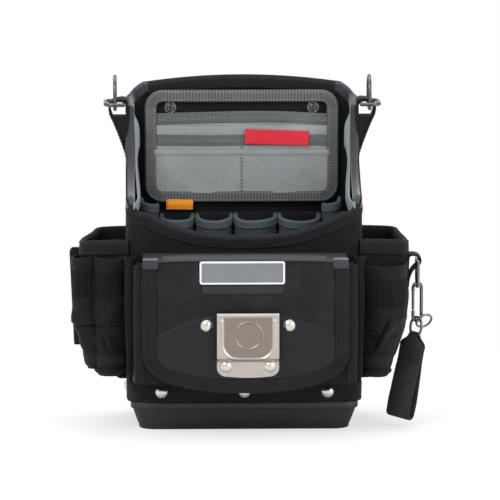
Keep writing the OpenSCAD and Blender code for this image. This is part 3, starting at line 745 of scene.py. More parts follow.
def wall_plan(corner):
    """Places round the wall from the middle of the front, past the right side: (x, y, outward)."""
    rows = []

    def straight(a, b, out, count):
        for i in range(count):
            t = i / count
            rows.append((mix(a[0], b[0], t), mix(a[1], b[1], t), Vector(out)))

    def turn(cx, cy, radius, start, count):
        for i in range(count):
            a = math.radians(start + 90 * i / count)
            c, s = math.cos(a), math.sin(a)
            rows.append((cx + radius * c, cy + radius * s, Vector((c, s, 0))))

    r, b = corner, BACK_CORNER
    straight((0, FRONT_Y), (HALF - r, FRONT_Y), (0, -1, 0), 30)
    turn(HALF - r, FRONT_Y + r, r, -90, 12)
    straight((HALF, FRONT_Y + r), (HALF, 10), (1, 0, 0), 18)
    straight((HALF, 10), (HALF, BACK_Y - b), (1, 0, 0), 32)
    turn(HALF - b, BACK_Y - b, b, 0, 6)
    straight((HALF - b, BACK_Y), (0, BACK_Y), (0, 1, 0), 26)
    half = list(rows)
    for x, y, out in reversed(half[1:]):
        rows.append((-x, y, opposite(out)))
    rows.insert(len(half), (0.0, BACK_Y, Vector((0, 1, 0))))
    return rows + rows[:1]


def edge_rails(plan, corner, width, start, end):
    """Rails for a tape folded over the open edge, between two places on the plan."""
    tops = [Vector((x, y, edge_height(x, y, corner))) for x, y, _ in plan]
    rails = []
    for i in range(start, end + 1):
        i %= len(plan) - 1
        run = (tops[i + 1] - tops[i - 1 if i else -2]).normalized()
        out = plan[i][2]
        down = run.cross(out).normalized()
        rails.append((tops[i] - out * (WALL / 2), tops[i] - out * (WALL / 2) + down * width, out))
    return rails


def folded(width, wall, thickness):
    """Profile of a tape folded over an edge of this wall thickness."""
    h, t = wall / 2, thickness
    outer = [(1.0, h), (0.97, h + t * 0.8), (0.85, h + t), (0.5, h + t * 1.12), (0.12, h + t)]
    top = [(-t * 0.55 / width, h * 0.8), (-t / width, 0.0)]
    inner = [(f, -height) for f, height in reversed(outer + top[:1])]
    return outer + top + inner


# ---------------------------------------------------------------- the stage


CAMERA_AIM = Vector((0.006, -0.02, 0.1634))  # metres, like the next two lines
CAMERA_DISTANCE = 5.0
PICTURE_WIDTH = 0.465  # how much the camera sees at its aim, from side to side
SENSOR = 36.0  # millimetres
CAMERA_AZIMUTH, CAMERA_ELEVATION = math.radians(-1.5), math.radians(8.0)


class PouchOperator:
    """What every operator of this add-on shares."""

    bl_options = {"REGISTER", "UNDO"}

    @property
    def sizes(self):
        return bpy.context.scene.pouch_sizes

    @property
    def corner(self):
        return self.sizes.corner / MM


def lamp(name, place, aim, width, power):
    """A square soft light at place, in metres, turned to aim."""
    deselect()
    bpy.ops.object.light_add(type="AREA", location=place)
    light = bpy.context.object
    light.name = name
    light.data.size = width
    light.data.energy = power
    light.rotation_euler = (Vector(aim) - Vector(place)).to_track_quat("-Z", "Y").to_euler()


class POUCH_OT_stage(PouchOperator, Operator):
    """Sets the camera, the soft lights and the pale floor"""

    bl_idname = "pouch.stage"
    bl_label = "Stage"

    def execute(self, context):
        flat = math.cos(CAMERA_ELEVATION)
        back = Vector((math.sin(CAMERA_AZIMUTH) * flat, -math.cos(CAMERA_AZIMUTH) * flat, math.sin(CAMERA_ELEVATION)))
        deselect()
        bpy.ops.object.camera_add(location=CAMERA_AIM + back * CAMERA_DISTANCE)
        camera = context.object
        camera.rotation_euler = (-back).to_track_quat("-Z", "Y").to_euler()
        camera.data.sensor_width = SENSOR
        camera.data.lens = SENSOR * CAMERA_DISTANCE / PICTURE_WIDTH
        context.scene.camera = camera
        context.scene.view_settings.view_transform = "Standard"

        lamp("Key light", (-1.1, -1.5, 1.9), (0, 0, 0.15), 1.3, 34.0)
        lamp("Fill light", (1.5, -1.3, 0.9), (0, 0, 0.15), 1.4, 16.0)
        lamp("Top light", (0.1, 0.4, 2.0), (0, 0, 0.1), 1.4, 26.0)

        world = bpy.data.worlds.new("Studio")
        context.scene.world = world
        world.use_nodes = True
        tree = world.node_tree
        paths = tree.nodes.new("ShaderNodeLightPath")
        seen = tree.nodes.new("ShaderNodeMath")
        seen.operation = "MAXIMUM"
        tree.links.new(paths.outputs["Is Camera Ray"], seen.inputs[0])
        tree.links.new(paths.outputs["Is Glossy Ray"], seen.inputs[1])
        level = tree.nodes.new("ShaderNodeMapRange")
        level.inputs["To Min"].default_value = 0.6
        level.inputs["To Max"].default_value = 1.0
        tree.links.new(seen.outputs[0], level.inputs["Value"])
        ground = tree.nodes["Background"]
        ground.inputs["Color"].default_value = (1, 1, 1, 1)
        tree.links.new(level.outputs["Result"], ground.inputs["Strength"])

        deselect()
        bpy.ops.mesh.primitive_plane_add(size=6.0)
        floor = context.object
        floor.name = "Floor"
        s = Shade("floor", Base_Color=(0.86, 0.86, 0.86, 1.0), Roughness=0.9, Specular_IOR_Level=0.1)
        rays = s.add("ShaderNodeLightPath", {}, {})
        x, y, _ = s.split(s.place())
        far = ((x * x + y * y) ** 0.5 - 0.24) / 0.3
        glow = s.add("ShaderNodeEmission", {}, {"Color": (1, 1, 1, 1), "Strength": 1.0})
        share = rays * (0.62 + far.clamp() * 0.38)
        surface = s.add("ShaderNodeMixShader", {}, {0: share, 1: Wire(s, s.shader.outputs[0]), 2: glow})
        s.tree.links.new(surface.socket, s.tree.nodes["Material Output"].inputs["Surface"])
        floor.data.materials.append(s.material)
        return {"FINISHED"}


# ---------------------------------------------------------------- main bag


class POUCH_OT_walls(PouchOperator, Operator):
    """Lofts the bag's wall as one sheet round the bag, and lines its sides"""

    bl_idname = "pouch.walls"
    bl_label = "Bag walls"

    def execute(self, context):
        corner = self.corner
        plan = wall_plan(corner)
        last = len(plan) - 1

        def wall(u, v):
            x, y, out = plan[round(u * last)]
            top = edge_height(x, y, corner)
            z = mix(FOOT, top, v)
            slack = math.sin(math.pi * min((z - FOOT) / 170, 1.0))
            belly = 2.2 * abs(out.x) * ease((z - 120) / 50) * ease((SHOULDER - 14 - z) / 60)
            push = 0.5 * slack + belly + ripple(x, y, z, 46, 0.9) * slack
            return x + out.x * push, y + out.y * push, z

        shell = cut("bag_wall", last, 56, wall, WALL - 0.4, 0.5, seamed=True)
        walls = ("front_wall", "left_side_wall", "right_side_wall", "back_panel")
        dress(shell, "bag", stands_for=walls)

        low, high = span("side_linings")
        inner = high.x
        stud = (span("lining_rivets")[0] + span("lining_rivets")[1]) / 2

        def lining(u, v):
            y = mix(low.y + 1, high.y - 1, u)
            top = edge_height(HALF, max(y, FRONT_Y + corner + 0.01), corner) - 5
            z = mix(FOOT + 1, min(top, high.z), v)
            free = float(np.interp(z, EDGE_Z, EDGE_Y))
            loose = math.sin(math.pi * min(max((y - free) / (high.y - free), 0.0), 1.0)) ** 0.7
            pinned = ease((math.hypot(y - stud.y, z - stud.z) - 6.5) / 15)
            puff = 0.7 * math.sin(math.pi * u) ** 0.5 + ripple(3, y, z, 30, 0.5)
            upper = ease((z - 185) / 24) * ease((high.z + 4 - z) / 16)
            puff += (6.0 + ripple(9, y, z, 38, 1.6)) * loose * pinned * upper
            return inner - 1.0 - puff, y, z

        right = cut("right_lining", 40, 60, lining, 1.2, offset=1.0)
        dress(both_sides("side_lining", right), "lining", stands_for=("side_linings",))
        return {"FINISHED"}


class POUCH_OT_edges(PouchOperator, Operator):
    """Folds ribbed webbing over the front rim and the top edge, and smooth tape over the side edges"""

    bl_idname = "pouch.edges"
    bl_label = "Edge tapes"

    def execute(self, context):
        corner = self.corner
        plan = wall_plan(corner)
        last = len(plan) - 1
        tape = self.sizes.tape / MM
        rim, side = self.sizes.rim_tape / MM, self.sizes.side_tape / MM
        rim_end = next(i for i, p in enumerate(plan) if p[1] >= FRONT_Y + corner)
        back_start = next(i for i, p in enumerate(plan) if p[1] >= BACK_Y and p[0] <= HALF - CORNER_IN)

        rails = edge_rails(plan, corner, rim, last - rim_end, last + rim_end)
        front = sweep("front_rim_tape", rails, folded(rim, WALL, tape))
        dress(front, "webbing", stands_for=("rim_binding",))

        right_rails = edge_rails(plan, corner, side, rim_end - 4, back_start + 1)
        right = sweep("right_side_tape", right_rails, folded(side, WALL, tape + 0.35))
        both = both_sides("side_edge_tape", right)
        dress(both, "tape", stands_for=("side_bindings",))

        back_rails = edge_rails(plan, corner, rim, back_start - 1, last - back_start + 1)
        top = sweep("top_edge_tape", back_rails, folded(rim, WALL, tape + 0.15))
        dress(top, "webbing", stands_for=("top_binding",))

        level = WALL / 2 + tape * 1.15
        rows = [seam(rails, 0.84, level), seam(rails, 0.2, level), seam(rails, 0.84, -level)]
        rows += [seam(back_rails, 0.84, level), seam(back_rails, 0.84, -level), seam(back_rails, 0.2, -level)]
        stitching("rim_stitches", rows, "thread")
        side_rows = [seam(right_rails, 0.85, level + 0.35), seam(right_rails, 0.85, -level - 0.35)]
        stitching("side_tape_stitches", side_rows + flipped(side_rows), "thread")
        return {"FINISHED"}


HEM_BAND = 10.5  # height of the dark band below the edge of a slip pocket


class POUCH_OT_tool_panel(PouchOperator, Operator):
    """Makes the tool panel: its board, bound frame, three slip pockets, labels and ringed rivets"""

    bl_idname = "pouch.tool_panel"
    bl_label = "Tool panel"

    def execute(self, context):
        low, high = span("tool_panel")
        plate = board("panel_board", low, high, 1, 16, 0.5)
        dress(plate, "bag", stands_for=("tool_panel",))

        front, back = span("panel_frame")[0].y, span("panel_frame")[1].y
        depth, width = back - front, 10.5
        ring = rounded_ring(low.x, low.z, high.x, high.z, 16, width, 10, 14)
        rails = [(Vector((a[0], back, a[1])), Vector((b[0], back, b[1])), FRONT) for a, b in ring]
        profile = [(0, 0), (-0.06, 1.2), (-0.02, depth - 0.9), (0.07, depth), (0.5, depth + 0.35)]
        profile += [(0.93, depth), (1.0, depth - 0.8), (1.0, 0)]
        band = sweep("panel_frame_tape", rails, profile, loop=True)
        dress(band, "panel_tape", stands_for=("panel_frame",))
        rows = [seam(rails, 0.16, depth + 0.25), seam(rails, 0.8, depth + 0.3)]
        stitching("panel_frame_stitches", rows, "grey_thread")

        def lifted(cloth, height, drop):
            """A strip near the top of a cloth, a little proud of it."""

            def strip(u, v):
                x, y, z = cloth(mix(0.01, 0.99, u), 1 - (drop + HEM_BAND * (1 - v)) / height)
                return x, y - 0.45, z + 0.3 * v * (drop == 0)

            return strip

        # Number from the back, node, whether a seam divides it, bow of its top, hem and how far the hem sits down
        layers = (
            (1, "slip_pocket_high", 0.0, 2.5, 8.0, 0.0),
            (2, "slip_pocket_middle", 1.0, 0.0, 8.0, 8.5),
            (3, "slip_pocket_low", 1.0, 0.0, 5.0, 0.0),
        )
        rows, seams = [], []
        for number, node, divided, bow, hem, drop in layers:
            a, b = span(node)
            face, top = a.y, b.z

            def cloth(u, v):
                x = mix(a.x - 2, b.x + 2, u)
                z = mix(a.z - 2, top + bow * math.sin(math.pi * u) + ripple(x, 0, number, 60, 0.6), v)
                between = abs(math.sin(math.pi * u * (1 + divided)))
                open_up = ease((z - a.z) / (top - a.z))
                puff = (0.5 + 1.3 * open_up) * between**0.6 + ripple(x, number * 9, z, 24, 0.45) * between
                fold = 0.55 * ease((z - (top - hem - 0.7)) / 0.8)
                return x, face - puff - fold + 0.5, z

            pocket = cut(node + "_cloth", 90, 46, cloth, 1.0, 0.4)
            dress(pocket, "pocket_cloth", stands_for=(node,))
            if number < 3:
                hem_band = lifted(cloth, top - a.z + 2, drop)
                dress(cut(node + "_hem", 90, 8, hem_band, 0.6, 0.25), "pocket_hem")
            face_y = face - 1.1
            proud, rises = (0.9, (1.2, 2.6)) if number < 3 else (0.15, (1.2,))
            for rise in rises:
                z, row = top - hem - drop + rise, []
                for i in range(61):
                    x, y, _ = cloth(i / 60, (z - a.z + 2) / (top - a.z + 2))
                    row.append((Vector((x, y - proud, z + bow * math.sin(math.pi * i / 60))), FRONT))
                rows.append(row)
            if number > 1:
                lowest = a.z - 1 if number == 3 else span("slip_pocket_low")[1].z
                for x in (-0.8, 0.8):
                    seams.append(line((x, face_y + 1.35, lowest), (x, face_y + 1.35, top - 1), FRONT))
        stitching("slip_pocket_stitches", rows, "grey_thread")
        stitching("slip_pocket_seams", seams, "thread")

        a, b = span("fabric_label")
        centre, tilt = (a + b) / 2, math.radians(-2)
        label_width, label_height = 60, 14

        def label(u, v):
            s, t = (u - 0.5) * label_width, (v - 0.5) * label_height
            curl = 0.5 * (2 * u - 1) ** 2 - 0.5 + ripple(s, 0, t, 20, 0.2)
            x = centre.x + s * math.cos(tilt) - t * math.sin(tilt)
            return x, a.y - 2.2 + curl * 0.5, centre.z + s * math.sin(tilt) + t * math.cos(tilt)

        dress(cut("red_label_cloth", 40, 10, label, 0.8, 0.25), "red", stands_for=("fabric_label",))

        a, b = span("small_tag")

        def tag(u, v):
            z = mix(a.z, b.z - 4.5, v) + ripple(u * 25, 0, 0, 14, 0.3)
            return mix(a.x, b.x, u), a.y - 0.3 - 0.8 * math.sin(math.pi * v) ** 2, z

        orange = cut("orange_tag_cloth", 20, 12, tag, 0.8, 0.25)
        dress(orange, "orange", stands_for=("small_tag",))
        rows = [line((a.x + 1.2, a.y - 1.0, a.z + 1), (a.x + 1.2, a.y - 1.0, b.z - 5.5), FRONT)]
        stitching("tag_stitches", rows, "thread", pitch=2.4, length=1.7)
        finish_node("panel_rivets", "antique")
        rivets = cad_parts["panel_rivets"]
        front, rings = span("panel_rivets")[0].y, []
        for side in (-1, 1):
            spots = [rivets.matrix_world @ v.co for v in rivets.data.vertices if v.co.x * side > 0]
            x, z = (sum(p[i] for p in spots) / len(spots) for i in (0, 2))
            # Radius, thickness and depth of the rolled rim and of the inner ring
            for radius, thick, depth in ((4.7, 0.85, 1.7), (2.4, 0.5, 0.4)):
                bpy.ops.mesh.primitive_torus_add(
                    major_radius=radius * MM,
                    minor_radius=thick * MM,
                    major_segments=40,
                    minor_segments=12,
                    location=(x, (front + depth) * MM, z),
                    rotation=(math.radians(90), 0, 0),
                )
                bpy.ops.object.transform_apply()
                rings.append(bpy.context.object)
        dress(join("panel_rivet_rings", *rings), "ring_steel")
        finish_node("lining_rivets", "antique")
        return {"FINISHED"}


# ---------------------------------------------------------------- tool loops


class POUCH_OT_tool_loops(PouchOperator, Operator):
    """Makes the backing strip and the six half-round tool loops with their bound rims"""

    bl_idname = "pouch.tool_loops"
    bl_label = "Tool loops"

    def execute(self, context):
        low, high = span("loop_strip")

        def strip(u, v):
            x, z = mix(low.x, high.x, u), mix(low.z, high.z, v)
            return x, low.y + 0.4 + ripple(x, 0, z, 25, 0.3), z

        backing = cut("loop_backing", 60, 20, strip, 3.0, 0.5)
        dress(backing, "bag", stands_for=("loop_strip",))
        face = low.y
        rows, corner_parts = [], []
        for node in ("tool_loop_1", "tool_loop_2", "tool_loop_3", "tool_loop_4", "left", "right"):
            corner = node in ("left", "right")
            if corner:
                a, b = span("corner_loops")
                radius = 8.6
                middle = a.x + radius if node == "left" else b.x - radius
                a, b = Vector((middle - radius, a.y, a.z)), Vector((middle + radius, b.y, b.z))
            else:
                a, b = span(node)
            middle, radius, reach = (a.x + b.x) / 2, (b.x - a.x) / 2, face - a.y

            def round_at(u):
                angle = math.pi * (1 - u)
                return middle + (radius - 0.3) * math.cos(angle), face - (reach - 0.3) * math.sin(angle) ** 0.85

            seed = middle * 0.7

            def dip(u):
                """How far the rim hangs below its two sewn ends; a corner loop also falls towards the middle."""
                round_in = math.sin(math.pi * u) ** 0.6 if 0 < u < 1 else 0.0
                if corner:
                    inward = u if node == "left" else 1 - u
                    return 3.0 * round_in + 5.0 * inward - 5.0
                return 5.5 * round_in + ripple(u * 30, seed, 0, 16, 1.6) * round_in

            def cloth(u, v):
                z = mix(a.z, b.z - 1.5 - dip(u), v)
                x, y = round_at(u)
                return x, y + 0.25 * math.sin(8 * math.pi * v) * (1 - v), z + ripple(x, y, z, 14, 0.25)

            loop_sheet = cut(f"{node}_cloth", 36, 22, cloth, 1.8)
            rails = []
            for i in range(37):
                x, y = round_at(i / 36)
                out = Vector((x - middle, y - face - 0.01, 0)).normalized()
                edge = Vector((x, y, b.z - 0.4 - dip(i / 36))) - out * 0.9
                rails.append((edge, edge - UP * 7.0, out))
            rim = sweep(f"{node}_rim", rails, folded(7.0, 2.0, 1.0))
            rim.data.materials.append(finishes["loop_tape"])
            if corner:
                loop_sheet.data.materials.append(finishes["loop_cloth"])
                corner_parts += [(loop_sheet, rim)]
            else:
                dress(loop_sheet, "loop_cloth", stands_for=(node,))
                dress(rim, "loop_tape")
            rows.append(seam(rails, 0.8, 2.0))
            for x in (middle - radius, middle + radius):
                if abs(x) < high.x:
                    rows.append(line((x, face - 0.6, a.z + 2), (x, face - 0.6, b.z - 2), FRONT))
        (cloth_l, rim_l), (cloth_r, rim_r) = corner_parts
        pair = join("corner_loop_cloth", cloth_l, cloth_r)
        dress(pair, "loop_cloth", stands_for=("corner_loops",))
        dress(join("corner_loop_rim", rim_l, rim_r), "loop_tape")
        stitching("loop_stitches", rows, "grey_thread", thick=0.55)
        return {"FINISHED"}


# ---------------------------------------------------------------- front pouch and flap

POUCH_LOW, POUCH_HIGH = span("pouch_gussets")
FLAP_LOW, FLAP_HIGH = span("front_flap")
BINDING_LOW, BINDING_HIGH = span("flap_binding")
FLAP_HALF = FLAP_HIGH.x - 1.2
FLAP_CURVE_Z = 78.0
FLAP_POWER = 2.3
FLAP_TAPE = 12.0
FLAP_FOOT = FLAP_LOW.z + 2.0
FLAP_FACE = BINDING_HIGH.y
HINGE_TOP = FLAP_HIGH.z
BADGE_SHIFT = -4.2
BADGE_RISE = 4.6


def flap_foot(k, margin=0.0):
    """Height of the lower edge of the flap, k of the way out from its middle, drawn in by a margin."""
    drop = FLAP_CURVE_Z - FLAP_FOOT - margin
    return FLAP_CURVE_Z - drop * (1 - abs(k) ** FLAP_POWER) ** (1 / FLAP_POWER)


def flap_swell(x, z):
    """How far the face of the flap stands proud of its plane; nothing where fittings are riveted on."""
    k = x / FLAP_HALF
    upper = ease((z - 112) / 16)
    crown = 0.7 * (1 - k * k) * upper * ease((HINGE_TOP - z) / 18)
    folds = ripple(x + 0.5 * z, 7, z, 30, 2.2) * ease((abs(x) - 42) / 12)
    return crown + (folds + ripple(x, 7, z, 34, 0.3)) * upper * ease((HINGE_TOP - 1 - z) / 8)


def flap_rails(margin_a, margin_b, top):
    """Rails down the left side of the flap, round its foot and up the right side, between two margins."""
    sides = [mix(top, FLAP_CURVE_Z, i / 26) for i in range(26)]
    path = [(-1, z) for z in sides]
    path += [(math.sin(math.pi * (i / 72 - 0.5)), None) for i in range(73)]
    path += [(1, z) for z in reversed(sides)]
    rails = []
    for k, z in path:
        ends = [
            Vector((k * (FLAP_HALF - margin), FLAP_FACE, flap_foot(k, margin) if z is None else z))
            for margin in (margin_a, margin_b)
        ]
        rails.append((*ends, FRONT))
    return rails


class POUCH_OT_front_pouch(PouchOperator, Operator):
    """Makes the front pouch: one sheet with pleated gussets, its floor and its webbing edges"""

    bl_idname = "pouch.front_pouch"
    bl_label = "Front pouch"

    def execute(self, context):
        low, high = POUCH_LOW, POUCH_HIGH
        half, front, back = high.x, low.y, high.y
        # One side from the back: into its pleat and out again, then round the front corner
        side = [(half - 0.6, back), (half - 0.4, back - 9), (half - 5.5, back - 15), (half - 7, back - 20)]
        side += [(half - 5.5, back - 25), (half - 0.4, back - 31), (half - 0.4, front + 5)]
        for i in range(1, 7):
            a = math.radians(90 * i / 6)
            side.append((half - 5.4 + 5 * math.cos(a), front + 5 - 4.6 * math.sin(a)))
        width = side[-1][0]
        middle = [(mix(-width, width, i / 40), front + 0.4) for i in range(1, 40)]
        full = [(-x, y) for x, y in side] + middle + side[::-1]
        fine = []
        for (x0, y0), (x1, y1) in zip(full, full[1:]):
            steps = max(1, round(math.dist((x0, y0), (x1, y1)) / 2.5))
            fine += [(mix(x0, x1, i / steps), mix(y0, y1, i / steps)) for i in range(steps)]
        fine.append(full[-1])
        last = len(fine) - 1

        def sheet(u, v):
            x, y = fine[round(u * last)]
            z = mix(low.z, high.z - 1.5, v)
            return x, y + 0.5 * math.sin(math.pi * v) * (y > front + 6), z

        body = cut("front_pouch_sheet", last, 44, sheet, 2.0, 0.4)
        dress(body, "bag", stands_for=("pouch_face", "pouch_gussets"))

        a, b = span("pouch_floor")
        floor = board("front_pouch_floor", (a.x, a.y - 0.5, a.z + 0.2), (b.x, b.y, b.z), 2, 4, 0.6)
        dress(floor, "bag", stands_for=("pouch_floor",))

        edge_low, edge_high = low.z + 1, high.z - 0.5
        rails = []
        for i in range(41):
            z = mix(edge_high, edge_low, i / 40)
            bow = 0.5 * math.sin(math.pi * i / 40)
            rails.append((Vector((half + 0.3 + bow, front - 0.1, z)), Vector((half - 8.2, front - 0.1, z)), FRONT))
        profile = [(0, 0.2), (0.06, 0.9), (0.3, 1.2), (0.9, 1.0), (1, 0.3), (1, -0.2), (0.3, -0.3)]
        profile += [(0.22, -7.5), (0.0, -8.0), (-0.1, -7.4), (-0.13, -4), (-0.08, -0.4)]
        right = sweep("right_gusset_tape", rails, profile)
        both = both_sides("gusset_edge_tape", right)
        dress(both, "webbing")
        rows = [seam(rails, 0.72, 1.2)]
        stitching("gusset_stitches", rows + flipped(rows), "thread")

        a, b = span("flap_seam")
        hinge = board("flap_seam_tape", (a.x, a.y, a.z), (b.x, b.y + 0.2, b.z), 0, 1.2, 0.3)
        dress(hinge, "webbing", stands_for=("flap_seam",))
        return {"FINISHED"}


class POUCH_OT_flap(PouchOperator, Operator):
    """Makes the flap: its twill sheet, bound edge, smooth reinforcement, badge, rubber strip and seams"""

    bl_idname = "pouch.flap"
    bl_label = "Front flap"

    def execute(self, context):
        hinge_y = FLAP_HIGH.y - 1.75
        edge_y = FLAP_FACE
        turn = 2.6
        bend = [(hinge_y, HINGE_TOP)]
        bend += [(mix(hinge_y, edge_y + turn, i / 8), HINGE_TOP - 1.1 * ease(i / 3)) for i in range(1, 9)]
        for i in range(1, 9):
            a = math.radians(90 * i / 8)
            bend.append((edge_y + turn - turn * math.sin(a), HINGE_TOP - 1.1 - turn + turn * math.cos(a)))
        bend_share = 0.2

        def sheet(u, v):
            k = math.sin(math.pi * (u - 0.5))
            x = k * FLAP_HALF
            t = 1 - v
            if t < bend_share:
                at = t / bend_share * (len(bend) - 1)
                i = min(int(at), len(bend) - 2)
                (y0, z0), (y1, z1) = bend[i], bend[i + 1]
                lift = 0.1 * math.sin(math.pi * t / bend_share) * (1 - k * k)
                return x, mix(y0, y1, at - i), mix(z0, z1, at - i) + lift * 0.6
            top = bend[-1][1]
            foot = flap_foot(k)
            z = mix(top, foot, (t - bend_share) / (1 - bend_share))
            return x, edge_y + 0.05 - flap_swell(x, z), z

        flap = cut("flap_sheet", 84, 64, sheet, 3.2, 0.6)
        dress(flap, "flap", "flap", ("front_flap",))

        rails = flap_rails(0.0, FLAP_TAPE, HINGE_TOP - 3.5)
        profile = [(1.0, -0.4), (1.0, 0.55), (0.94, 1.0), (0.5, 1.25), (0.08, 1.05), (-0.05, 0.5), (-0.09, -1.6)]
        profile += [(-0.05, -3.6), (0.08, -4.1), (0.6, -4.0), (0.62, -3.1)]
        tape = sweep("flap_edge_tape", rails, profile)
        dress(tape, "flap_tape", "flap", ("flap_binding",))
        rows = [seam(rails, 0.86, 1.2), seam(rails, 0.62, 1.35), seam(rails, 0.16, 1.25)]
        stitching("flap_edge_stitches", rows, "flap_thread", body="flap")
        # Dark stitches along the tape's inner edge: partly real stitching, partly a painted shadow line where the tape
        # lies over the flap.
        dark = [seam(rails, 1.0, 0.75), seam(rails, 0.98, 0.8)]
        stitching("flap_seam_and_shadow_line", dark, "dark_thread", body="flap", pitch=2.6, length=2.5, thick=0.9)

        # The tape's ends, where it turns over the top, take the lighter purplish edge tape finish as a painted
        # highlight.
        fold = [(158.0, -1.3, FRONT), (HINGE_TOP - 3.5, -1.3, FRONT), (HINGE_TOP - 0.9, -0.7, Vector((0, -0.75, 0.65)))]
        fold += [(HINGE_TOP - 0.2, 1.4, Vector((0, -0.3, 0.95))), (HINGE_TOP - 0.6, 9.0, UP)]
        ends = []
        for z, y, normal in fold:
            a, b = Vector((-FLAP_HALF - 0.4, FLAP_FACE + y, z)), Vector((FLAP_TAPE + 1.5 - FLAP_HALF, FLAP_FACE + y, z))
            ends.append((a, b, normal.normalized()))
        profile = [(0, -0.6), (0, 0.3), (0.06, 0.6), (0.5, 0.7), (0.94, 0.6), (1, 0.3), (1, -0.6)]
        left = sweep("left_fold", ends, profile)
        dress(both_sides("flap_tape_ends", left), "tape", "flap")
        reach = FLAP_HALF - FLAP_TAPE - 0.5
        rails = []
        for i in range(61):
            x = mix(-reach, reach, i / 60)
            z = HINGE_TOP - 0.2 + ripple(x, 3, 0, 40, 0.25) - 1.2 * abs(x / reach) ** 6
            rails.append((Vector((x, FLAP_FACE - 0.9, z - 1.0)), Vector((x, hinge_y - 10, z - 0.6)), UP))
        section = [(0.02, -0.6), (0, 0), (0.01, 0.9), (0.05, 1.5), (0.1, 1.2), (0.15, 0.7), (1, 0.6), (1, -0.2)]
        bead = sweep("flap_top_tape", rails, section)
        dress(bead, "piping", "flap")

        crest = span("flap_patch")[1].z
        inner = FLAP_HALF - FLAP_TAPE + 1.5
        shares, falls = (0.0, 0.37, 0.55, 0.7, 0.86, 1.0), (0.0, 0.4, 3.8, 8.0, 14.5, 20.5)

        def patch_top(k):
            return crest - float(np.interp(abs(k), shares, falls))

        def patch_curve(k):
            return sum(patch_top(k + d) for d in (-0.06, -0.03, 0, 0.03, 0.06)) / 5

        def reinforcement(u, v):
            k = math.sin(math.pi * (u - 0.5))
            low = flap_foot(k, FLAP_TAPE - 1.5)
            z = mix(low, patch_curve(k), v)
            x = k * inner
            rolled = 0.7 * ease((patch_curve(k) - z) / 1.2)
            return x, FLAP_FACE - 0.15 - rolled - flap_swell(x, z), z

        cover = cut("flap_reinforcement", 90, 40, reinforcement, 0.8)
        dress(cover, "patch", "flap", ("flap_patch",))
        row, second = [], []
        for i in range(121):
            k = 0.985 * (2 * i / 120 - 1)
            for target, drop in ((row, 2.4), (second, 4.4)):
                z = patch_curve(k) - drop
                target.append((Vector((k * inner, FLAP_FACE - 0.9 - flap_swell(k * inner, z), z)), FRONT))
        stitching("reinforcement_stitches", [row, second], "flap_thread", body="flap")

        for node, name, rim, field, slot, border, shift, rise in (
            ("label_plate", "badge", "label_rim", "label_field", "label_silver", 1.7, BADGE_SHIFT, BADGE_RISE),
            ("rubber_strip", "rubber_strip_pad", "rubber", "rubber", "rubber_black", 0.9, -4.0, 0.0),
        ):
            a, b = span(node)
            a, b = a + Vector((shift, 0, 0)), b + Vector((shift, 0, rise))
            plate = board(name, (a.x, a.y - 0.5, a.z), (b.x, b.y + 0.2, b.z), 1, 2.2, 0.0)
            dress(plate, rim, "flap", (node,))
            low = (a.x + border, a.y - 0.75, a.z + border)
            face = board(name + "_field", low, (b.x - border, a.y - 0.35, b.z - border), 1, 1.0, 0.0)
            dress(face, field, "flap")
        a, b = span("label_plate")
        ring = rounded_ring(a.x + BADGE_SHIFT, a.z, b.x + BADGE_SHIFT, b.z + BADGE_RISE, 2.2, 1.0, 4, 24)
        row = [(Vector((x, a.y - 0.55, z)), FRONT) for _, (x, z) in ring]
        stitching("badge_stitches", [row], "grey_thread", body="flap", pitch=2.6, length=1.8, thick=0.4)
        return {"FINISHED"}


class POUCH_OT_clip(PouchOperator, Operator):
    """Stamps the tape clip from one brushed plate with a raised bead and a plain embossed ring"""

    bl_idname = "pouch.clip"
    bl_label = "Tape clip"

    def execute(self, context):
        low, high = span("tape_clip")
        middle, half = (low.x + high.x) / 2, (high.x - low.x) / 2
        flat, step = 17.0, 5.0
        face = high.y - 1.0
        raised = low.y

        def bead_distance(x, z):
            """How far a place is from the line of the raised bead; less than nothing inside it."""
            reach, corner = half - 4.4, 13.0
            foot = low.z + 17.2 + 2.0 * ((x - middle) / reach) ** 2
            over, under = abs(x - middle) - (reach - corner), foot + corner - z
            return math.hypot(max(over, 0), max(under, 0)) + min(max(over, under), 0) - corner

        def plate(u, v):
            x = mix(low.x, high.x, u)
            k = 2 * u - 1
            t = max(0.0, (abs(x - middle) - half + 7.5) / 7.5)
            z = mix(low.z + 2.2 * k * k + 6.6 * (1 - math.sqrt(1 - min(t, 1.0) ** 2)), high.z, v)
            rise = ease((z - (low.z + flat - 3)) / step)
            y = mix(face, raised, rise)
            near = bead_distance(x, z)
            y -= 1.0 * ease(1 - abs(near) / 2.1) * ease((high.z - 4.5 - z) / 2.5)
            ring = math.hypot(x - middle - 0.5, z - (low.z + 39.5))
            y -= 0.6 * ease(1 - abs(ring - 12.4) / 1.2) - 0.25 * (ring < 11.4)
            lip = ease((z - (high.z - 2.2)) / 2.2)
            y += 1.7 * lip * lip
            return x, y, z

        sheet = cut("clip_plate", 130, 130, plate, 1.0)
        layer = sheet.data.color_attributes.new("field", "FLOAT_COLOR", "POINT")
        for vertex, item in zip(sheet.data.vertices, layer.data):
            x, z = vertex.co.x / MM, vertex.co.z / MM
            inside = ease((-1.6 - bead_distance(x, z)) / 0.8) * ease((high.z - 2.5 - z) / 1.5)
            item.color = (inside, inside, inside, 1.0)
        dress(sheet, "clip", "flap", ("tape_clip",))
        finish_node("flap_rivets", "nickel")
        return {"FINISHED"}


# ---------------------------------------------------------------- base


